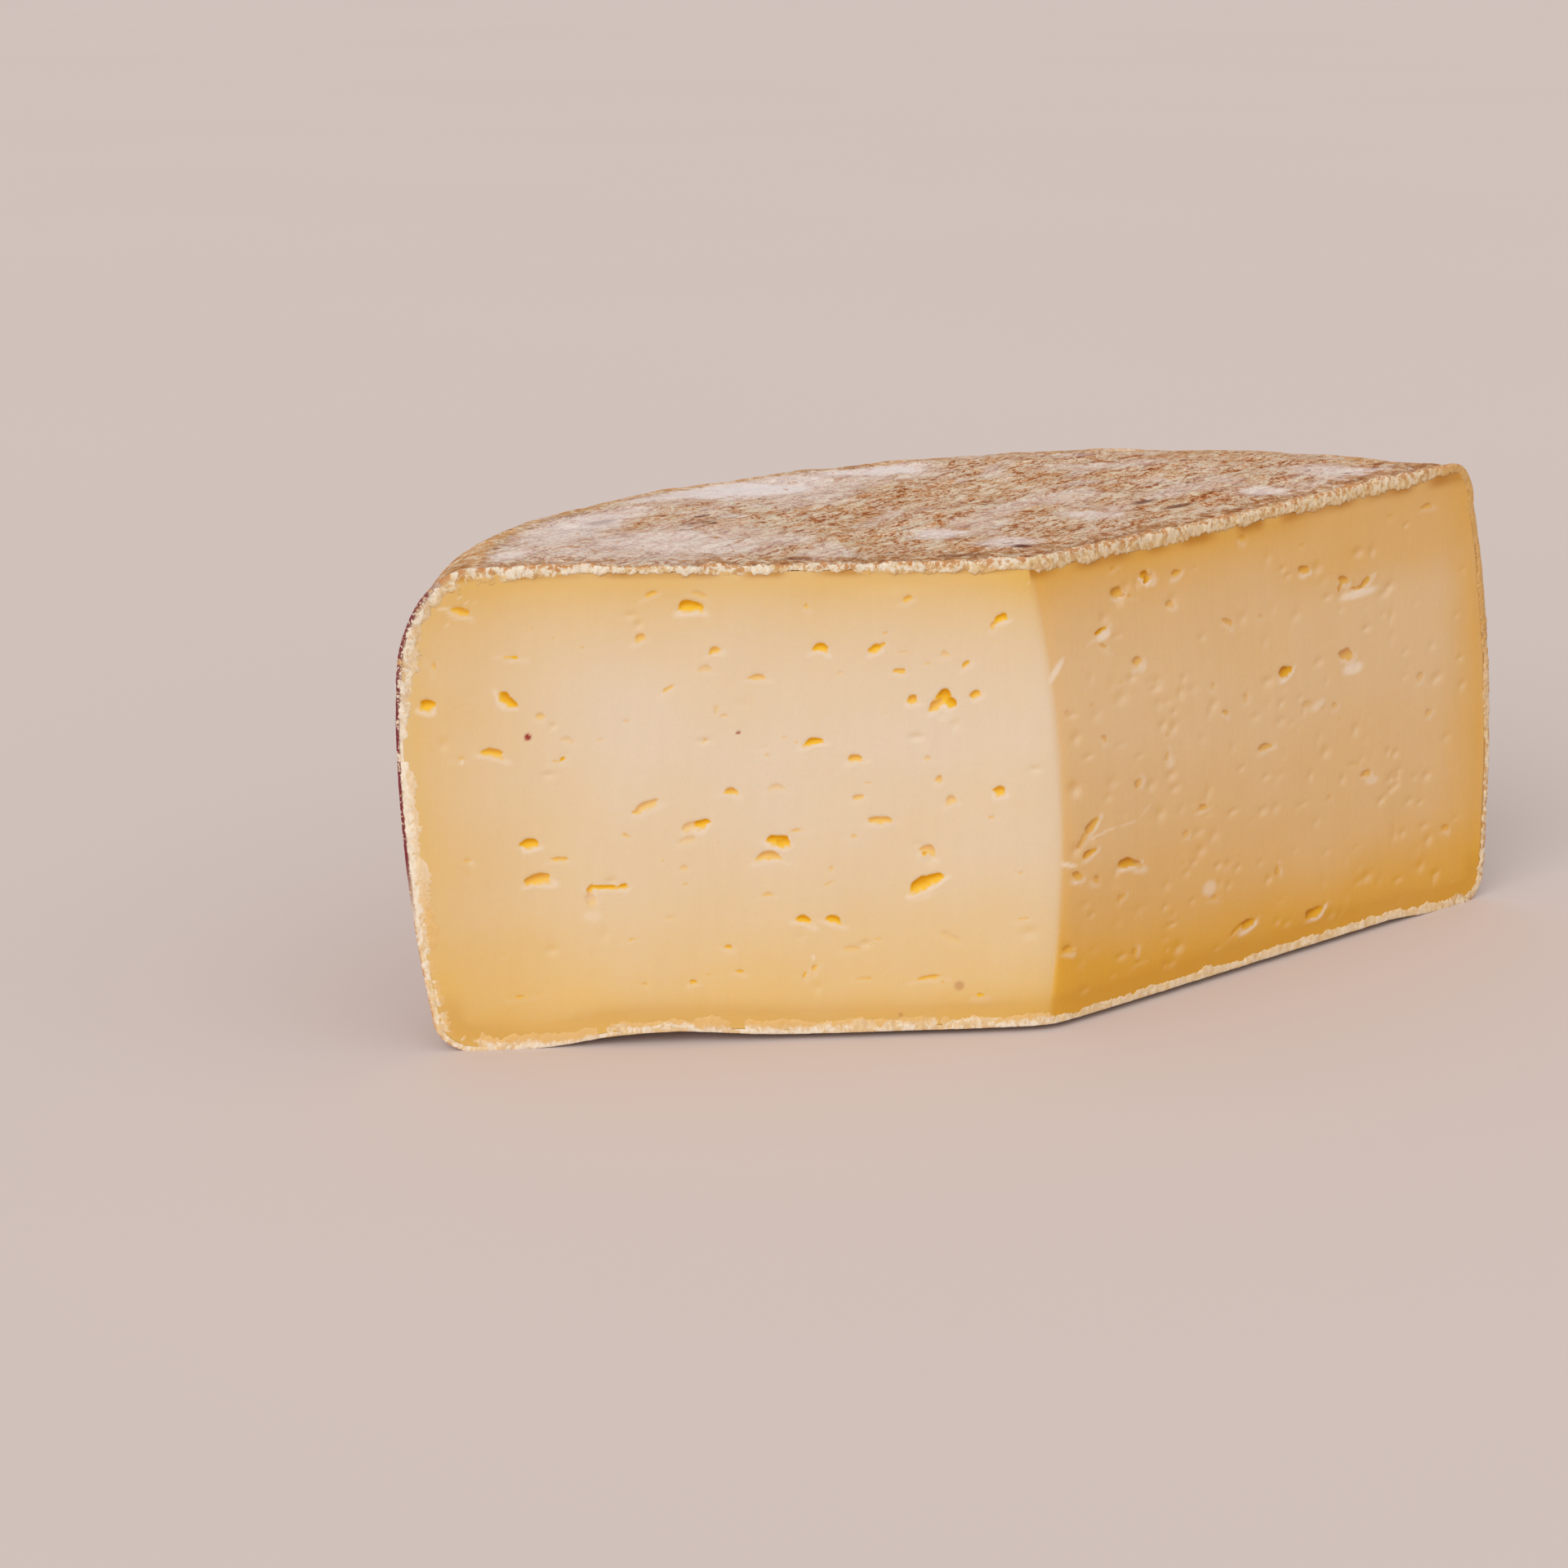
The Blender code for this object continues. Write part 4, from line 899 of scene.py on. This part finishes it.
CRUMB_BROWN, CRUMB_SKIN = (0.36, 0.16, 0.06), (0.20, 0.035, 0.04)
FLOOR_COLOURS = ((0.655, 0.56, 0.53), (0.675, 0.577, 0.548))
STREAK_TURN = math.radians(46.0)  # the rind's streaks run this way round from +X


# ---- Shader nodes
class Output:
    """A shader node's output. Its sums, differences and products are Math nodes."""

    def __init__(self, socket):
        self.socket = socket
        self.tree = socket.id_data

    def math(self, operation, first, second=0.0):
        return add(self.tree, "ShaderNodeMath", {0: first, 1: second}, operation=operation)

    def __add__(self, other):
        return self.math("ADD", self, other)

    def __mul__(self, other):
        return self.math("MULTIPLY", self, other)

    def __sub__(self, other):
        return self.math("SUBTRACT", self, other)

    def __rsub__(self, other):
        return self.math("SUBTRACT", other, self)

    def __abs__(self):
        return self.math("ABSOLUTE", self)


def wire(socket, value):
    """Links an output to a socket, or sets the socket to a value, with an alpha of 1 for a colour."""
    if isinstance(value, Output):
        value.tree.links.new(value.socket, socket)
    else:
        socket.default_value = (*value, 1.0) if socket.type == "RGBA" else value


def add(tree, kind, inputs, output=0, **settings):
    """An output of a new node with these settings, and these values or outputs on its inputs."""
    node = tree.nodes.new(kind)
    for key, value in settings.items():
        setattr(node, key, value)
    for key, value in inputs.items():
        wire(node.inputs[key], value)
    return Output(node.outputs[output])


def attribute(tree, name):
    """A named value of the mesh's points."""
    return add(tree, "ShaderNodeAttribute", {}, "Fac", attribute_name=name)


def stretched(vector, stretch):
    """A vector with each axis scaled."""
    return add(vector.tree, "ShaderNodeVectorMath", {0: vector, 1: stretch}, operation="MULTIPLY")


def millimetres(tree):
    """Object coordinates in millimetres."""
    return stretched(add(tree, "ShaderNodeTexCoord", {}, "Object"), [1.0 / MM] * 3)


def noise(place, length, detail=2.0, roughness=0.55, distortion=0.0, stretch=None):
    """Noise from 0 to 1 whose largest lumps have this length, at a place with each axis scaled."""
    inputs = {
        "Vector": stretched(place, stretch) if stretch else place,
        "Scale": 1.0 / length,
        "Detail": detail,
        "Roughness": roughness,
        "Distortion": distortion,
    }
    return add(place.tree, "ShaderNodeTexNoise", inputs)


def step(value, low, high, bottom=0.0, top=1.0):
    """A smooth step from one value to another as the input goes from low to high."""
    inputs = {"Value": value, "From Min": low, "From Max": high, "To Min": bottom, "To Max": top}
    return add(value.tree, "ShaderNodeMapRange", inputs, interpolation_type="SMOOTHSTEP")


def blend(share, first, second):
    """From the first colour to the second, by a share that is held between 0 and 1."""
    inputs = {0: share, 6: first, 7: second}
    return add(share.tree, "ShaderNodeMix", inputs, 2, data_type="RGBA", clamp_factor=True)


def layered(colour, *layers):
    """A colour with layers laid over it in order, each a pair of its share and its own colour."""
    for share, tint in layers:
        colour = blend(share, colour, tint)
    return colour


def new_group(name, **inputs):
    """(tree, outputs of its input node) of a new node group with inputs of these names and kinds."""
    tree = bpy.data.node_groups.new(name, "ShaderNodeTree")
    for key, kind in inputs.items():
        tree.interface.new_socket(key, in_out="INPUT", socket_type=kind)
    given = tree.nodes.new("NodeGroupInput")
    return tree, [Output(given.outputs[key]) for key in inputs]


def finished_group(tree, **outputs):
    """The node group with an output of each name, fed by its value."""
    for key in outputs:
        tree.interface.new_socket(key, in_out="OUTPUT", socket_type="NodeSocketFloat")
    found = tree.nodes.new("NodeGroupOutput")
    for key, value in outputs.items():
        wire(found.inputs[key], value)
    return tree


def use_group(tree, group, **inputs):
    """The outputs by name of a node of a group, with values or outputs on its named inputs."""
    node = tree.nodes.new("ShaderNodeGroup")
    node.node_tree = group
    for key, value in inputs.items():
        wire(node.inputs[key], value)
    return {socket.name: Output(socket) for socket in node.outputs}


def mottle_group():
    """The rind's wrinkles at a place in millimetres: masks of its long folds, spots and slits, and height."""
    tree, (place,) = new_group("rind_mottle", Place="NodeSocketVector")
    turn = {"Vector": place, "Angle": -STREAK_TURN}
    turned = add(tree, "ShaderNodeVectorRotate", turn, rotation_type="Z_AXIS")
    fold = noise(turned, 1.7, 6.0, 0.78, 1.2, (0.40, 1.0, 1.0))
    fine = noise(turned, 0.52, 4.0, 0.7, 0.6, (0.8, 0.8, 1.0))
    tone = noise(turned, 6.5, 5.0, 0.62, 0.4, (0.6, 1.0, 1.0))
    calm = noise(turned, 13.0, 4.0, 0.6, 0.3, (0.7, 1.0, 1.0))
    pits = noise(turned, 2.4, 3.0, 0.6, 0.2, (0.5, 1.0, 1.0))
    slit = noise(turned, 3.0, 4.0, 0.6, 0.9, (0.30, 1.0, 1.0))
    depth = fold * 0.6 + fine * 0.4
    return finished_group(
        tree,
        Calm=step(calm, 0.50, 0.62),
        Tan=step(tone, 0.44, 0.54),
        Stain=step(depth, 0.500, 0.472),
        Valleys=step(depth, 0.464, 0.442),
        Ridges=step(depth, 0.522, 0.545),
        Creases=step(abs(slit - 0.5), 0.020, 0.008) * step(fine, 0.46, 0.54),
        Pits=step(pits, 0.70, 0.74),
        Height=depth * 1.6 - step(pits, 0.64, 0.74) * 0.5,
    )


def grain_group():
    """Fine grain at a place in millimetres: soft specks of colour, and height."""
    tree, (place, scale) = new_group("fine_grain", Place="NodeSocketVector", Scale="NodeSocketFloat")
    inputs = {"Vector": place, "Scale": scale, "Detail": 4.0, "Roughness": 0.6}
    grain = add(tree, "ShaderNodeTexNoise", inputs)
    return finished_group(tree, Specks=step(grain, 0.38, 0.66), Height=grain)


# ---- Materials
def new_material(name, **fixed):
    """(material, tree, shader) with a Principled shader whose constants are set on its own sockets."""
    material = bpy.data.materials.new(name)
    material.use_nodes = True
    shader = material.node_tree.nodes["Principled BSDF"]
    for key, value in fixed.items():
        wire(shader.inputs[key.replace("_", " ")], value)
    return material, material.node_tree, shader


def bump(shader, height, distance):
    """Bump on a shader, from a height and the millimetres that a height of 1 stands for."""
    inputs = {"Height": height, "Distance": distance * MM}
    wire(shader.inputs["Normal"], add(height.tree, "ShaderNodeBump", inputs))


def paste_material(grain):
    """Supple pale paste that turns golden towards the rind, with orange-yellow eyes in painted shade on the
    side away from the light, painted highlights below them, and painted shadow under the top's crumbs.
    """
    material, tree, shader = new_material(
        "cheese_paste", Subsurface_Weight=0.10, Subsurface_Radius=(1.0, 0.55, 0.22), Subsurface_Scale=0.001,
        Specular_IOR_Level=0.25,
    )
    place = millimetres(tree)
    fine = use_group(tree, grain, Place=place, Scale=1.6)["Height"]
    turned = attribute(tree, "turned")
    golden = attribute(tree, "golden") + step(noise(place, 9.0, 3.0), 0.2, 0.8, -0.05, 0.05)
    golden = golden + step(fine, 0.2, 0.8, -0.02, 0.02)
    side = (attribute(tree, "eye_side") + 1.0) * 0.5
    # The eye's colour: painted shade on the side away from the light, deeper on the right cut, and lighter on
    # the lit side.
    dark = step(side, 0.10, 0.65, 1.0, 0.0) * step(turned, 0.0, 1.0, 0.15, 0.5)
    eye = layered(EYE_SHADED, (step(side, 0.15, 0.95), EYE_LIT), (dark + turned * 0.4, EYE_DEEP_SHADE))
    gap = attribute(tree, "eye_gap") + step(noise(place, 0.7, 3.0), 0.3, 0.7, -0.3, 0.3)
    colour = layered(
        blend(turned, LEFT_PALE, RIGHT_PALE),
        (golden, blend(turned, LEFT_GOLD, RIGHT_GOLD)),
        # The shade value: painted shadow under the top's crumbs and painted shade near the top, with darker
        # paste by the left rim and brown by the foot's crumbs.
        (attribute(tree, "shade"), AMBER_SHADE),
        # Pale marks, and painted highlights below the eyes and on the dents' lit slopes.
        (attribute(tree, "pale_and_highlight") * step(turned, 0.0, 1.0, 0.65, 0.9), PALE_MARK_AND_HIGHLIGHT),
        (step(gap, -0.5, 0.5) * attribute(tree, "eye_strength"), eye),
        (attribute(tree, "speck"), SPECK),
    )
    wire(shader.inputs["Base Color"], colour)
    wire(shader.inputs["Roughness"], step(fine, 0.2, 0.8, 0.40, 0.55))
    wires = noise(place, 0.9, 2.0, stretch=(1.0, 1.0, 0.03))
    bump(shader, wires * 0.4 + fine * 0.5, 0.09)
    return material


def rind_colour(mottle, bloom):
    """The rind's colour from its wrinkles, quieter and whiter under bloom."""
    lively = layered(
        RIND_GREY,
        (mottle["Tan"] * 0.6, RIND_TAN),
        (mottle["Ridges"] * 0.75, RIND_CREAM),
        (mottle["Stain"] * 0.8, RIND_STAIN),
        (mottle["Valleys"] * 0.95, RIND_BROWN),
        (mottle["Creases"] * 0.8, RIND_CREASE),
    )
    return layered(RIND_MOULD, (1.0 - bloom * 0.93, lively), (mottle["Pits"] * 0.85, RIND_DARK))


def crust_colour(place, flank, fleck):
    """The flank's colour: brown, more orange on the shoulder, with pale and dark flecks and broad patches."""
    broad = noise(place, 11.0, 6.0, 0.7, 0.3, (1.0, 1.0, 1.5))
    return layered(
        RIND_FLANK,
        (step(flank, 0.7, 0.95), RIND_SHOULDER),
        (step(fleck, 0.51, 0.58, 0.0, 0.75), RIND_CREAM),
        (step(fleck, 0.43, 0.38, 0.0, 0.8), RIND_BROWN),
        (step(broad, 0.52, 0.66, 0.0, 0.45), RIND_MOULD),
        (step(broad, 0.46, 0.36, 0.0, 0.55), RIND_BROWN),
    )


def rind_material(mottle, grain):
    """Grey-beige rind with tan and reddish-brown wrinkles, cream ridges, white bloom and a few dark pits."""
    material, tree, shader = new_material("rind", Specular_IOR_Level=0.02)
    place = millimetres(tree)
    mottle = use_group(tree, mottle, Place=place)
    fine = use_group(tree, grain, Place=place, Scale=2.6)
    patchy = noise(place, 2.0, 6.0, 0.72)
    fleck = noise(place, 1.3, 5.0, 0.7, 0.5, (1.0, 1.0, 1.4))
    flank, near_cut = attribute(tree, "flank"), attribute(tree, "near_cut")
    bloom = attribute(tree, "bloom")
    bloom = bloom.math("MAXIMUM", bloom, mottle["Calm"] * 0.45)
    crusty = flank + step(patchy, 0.3, 0.7, 0.45, -0.45)
    worn = near_cut + step(patchy, 0.3, 0.7, -0.8, 0.8)
    crumbs = attribute(tree, "fringe") + step(fleck, 0.38, 0.62, -0.42, 0.42)
    colour = layered(
        rind_colour(mottle, bloom),
        (fine["Specks"] * 0.14, RIND_BROWN),
        (step(crusty, 0.40, 0.62, 0.0, 0.85), crust_colour(place, flank, fleck)),
        (step(worn, 0.52, 0.74, 0.0, 0.8), RIND_WORN),
        (near_cut * step(fleck, 0.555, 0.60, 0.0, 0.75), RIND_CREAM),
        (near_cut * step(fleck, 0.455, 0.425, 0.0, 0.75), RIND_BROWN),
        (step(crumbs, 0.50, 0.66, 0.0, 0.85), CRUMB_CREAM),
        (attribute(tree, "pits"), RIND_DARK),
    )
    wire(shader.inputs["Base Color"], colour)
    wire(shader.inputs["Roughness"], step(bloom, 0.0, 1.0, 0.72, 0.9))
    bump(shader, (mottle["Height"] + fine["Height"] * 0.25) * step(bloom, 0.0, 1.0, 1.0, 0.35), 0.7)
    return material


def crumb_material(mottle, grain):
    """Cream and tan crumbs, white in places and golden inwards, with dark red skin outside the left rim."""
    material, tree, shader = new_material("cut_rind", Specular_IOR_Level=0.05, Roughness=0.85)
    place = millimetres(tree)
    left, left_rim = attribute(tree, "left_side"), attribute(tree, "skin_line")
    crumbly, inwards = attribute(tree, "crumbly"), attribute(tree, "inwards")
    mottle = use_group(tree, mottle, Place=place)
    fine = use_group(tree, grain, Place=stretched(place, (1.0, 1.0, 0.45)), Scale=1.9)
    patch = noise(place, 3.5, 4.0, 0.66, 0.4)
    lump = noise(place, 0.9, 5.0, 0.7, 0.3, (1.0, 1.0, 0.8))
    white = step(patch + (lump - 0.5) * 0.9 + left_rim * 0.10, 0.40, 0.54)
    tan = step(lump, 0.51, 0.42, 0.0, 0.7) * step(crumbly, 0.0, 1.0, 0.2, 1.0)
    golden = step(inwards + step(patch, 0.2, 0.8, -0.5, 0.5), 0.30, 0.60)
    golden = golden * step(left, 0.0, 1.0, 0.35, 0.9) * step(left_rim, 0.0, 1.0, 1.0, 0.5)
    outwards = inwards + (lump - 0.5) * step(crumbly, 0.0, 1.0, 0.4, 1.9)
    downy = blend(step(lump, 0.44, 0.56, 0.9, 0.15), rind_colour(mottle, mottle["Calm"] * 0.5), RIND_WORN)
    colour = layered(
        CRUMB_CREAM,
        (white * step(left, 0.0, 1.0, 0.5, 0.85), CRUMB_WHITE),
        (tan * step(left_rim, 0.0, 1.0, 1.0, 0.45), CRUMB_TAN),
        (fine["Specks"] * 0.2, CRUMB_BROWN),
        (attribute(tree, "golden_rim") * 0.85, CRUMB_ORANGE),
        (golden, CRUMB_GOLD),
        (step(outwards + left_rim * 0.20, -0.14, -0.02, 1.0, 0.0), downy),
        (left_rim * step(outwards, 0.02, 0.12, 1.0, 0.0) * step(lump, 0.38, 0.48), CRUMB_SKIN),
    )
    wire(shader.inputs["Base Color"], colour)
    bump(shader, (lump * 0.9 + fine["Height"] * 0.5) * step(crumbly, 0.0, 1.0, 0.4, 1.0), 0.4)
    return material


def floor_material():
    """Plain pale matt floor with a barely seen change of tone."""
    material, tree, shader = new_material("pale_floor", Roughness=0.9, Specular_IOR_Level=0.1)
    wire(shader.inputs["Base Color"], blend(noise(millimetres(tree), 400.0), *FLOOR_COLOURS))
    return material


# ---- Floor, light and camera
FLOOR_SIDE = 14.0  # metres
LENS, SENSOR = 73.125, 36.0
CAMERA_CLIP = 0.01, 100.0
CAMERA_FROM_EDGE = 0.91 * np.array([-67.32, -438.51, 160.88])  # from the foot of the cut edge, in millimetres
CAMERA_TURNS = ((-3.69124, "Z"), (74.5, "X"), (-0.56, "Z"))  # round, up from straight down, and its roll
SKY, SKY_STRENGTH = (1.0, 0.985, 0.97), 0.66
LIGHTS = (  # name, the way it comes from, strength, how wide it is in degrees, colour
    ("window", (-0.42, -0.76, 0.52), 1.55, 50.0, (1.0, 0.985, 0.96)),
    ("fill", (0.7, -0.6, 0.5), 0.25, 70.0, (1.0, 0.95, 0.90)),
)


def add_floor():
    """A wide square floor at z = 0."""
    mesh = bpy.data.meshes.new("floor")
    corners = [(x * FLOOR_SIDE / 2, y * FLOOR_SIDE / 2, 0.0) for x, y in ((-1, -1), (1, -1), (1, 1), (-1, 1))]
    mesh.from_pydata(corners, [], [(0, 1, 2, 3)])
    mesh.materials.append(floor_material())
    floor = placed("floor", mesh)
    floor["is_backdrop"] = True


def add_lights():
    """Even light from all round, a broad soft light from the upper left, and a weak fill from the right."""
    world = bpy.data.worlds.new("studio")
    world.use_nodes = True
    bpy.context.scene.world = world
    sky = world.node_tree.nodes["Background"]
    wire(sky.inputs["Color"], SKY)
    wire(sky.inputs["Strength"], SKY_STRENGTH)
    for name, way, strength, wide, colour in LIGHTS:
        data = bpy.data.lights.new(name, "SUN")
        data.energy, data.angle, data.color = strength, math.radians(wide), colour
        placed(name, data).rotation_euler = Vector(way).to_track_quat("Z", "Y").to_euler()


def add_camera():
    """The camera in front of the wedge, a little above it, looking slightly down."""
    data = bpy.data.cameras.new("camera")
    data.lens, data.sensor_width, data.sensor_fit = LENS, SENSOR, "HORIZONTAL"
    data.clip_start, data.clip_end = CAMERA_CLIP
    camera = placed("camera", data)
    place = Matrix.Translation(Vector((EDGE_FOOT + CAMERA_FROM_EDGE) * MM))
    turn, tilt, roll = (Matrix.Rotation(math.radians(angle), 4, axis) for angle, axis in CAMERA_TURNS)
    camera.matrix_world = place @ turn @ tilt @ roll
    bpy.context.scene.camera = camera


def main():
    """Camera, light and floor, then the three pieces of the cheese with their materials."""
    add_camera()
    add_lights()
    add_floor()
    bpy.context.scene.view_settings.view_transform = "Standard"
    bpy.context.scene.view_settings.look = "None"
    mottle, grain = mottle_group(), grain_group()
    paste_piece(paste_material(grain))
    rind_piece(rind_material(mottle, grain))
    crumb_piece(crumb_material(mottle, grain))


main()

bpy.context.view_layer.update()
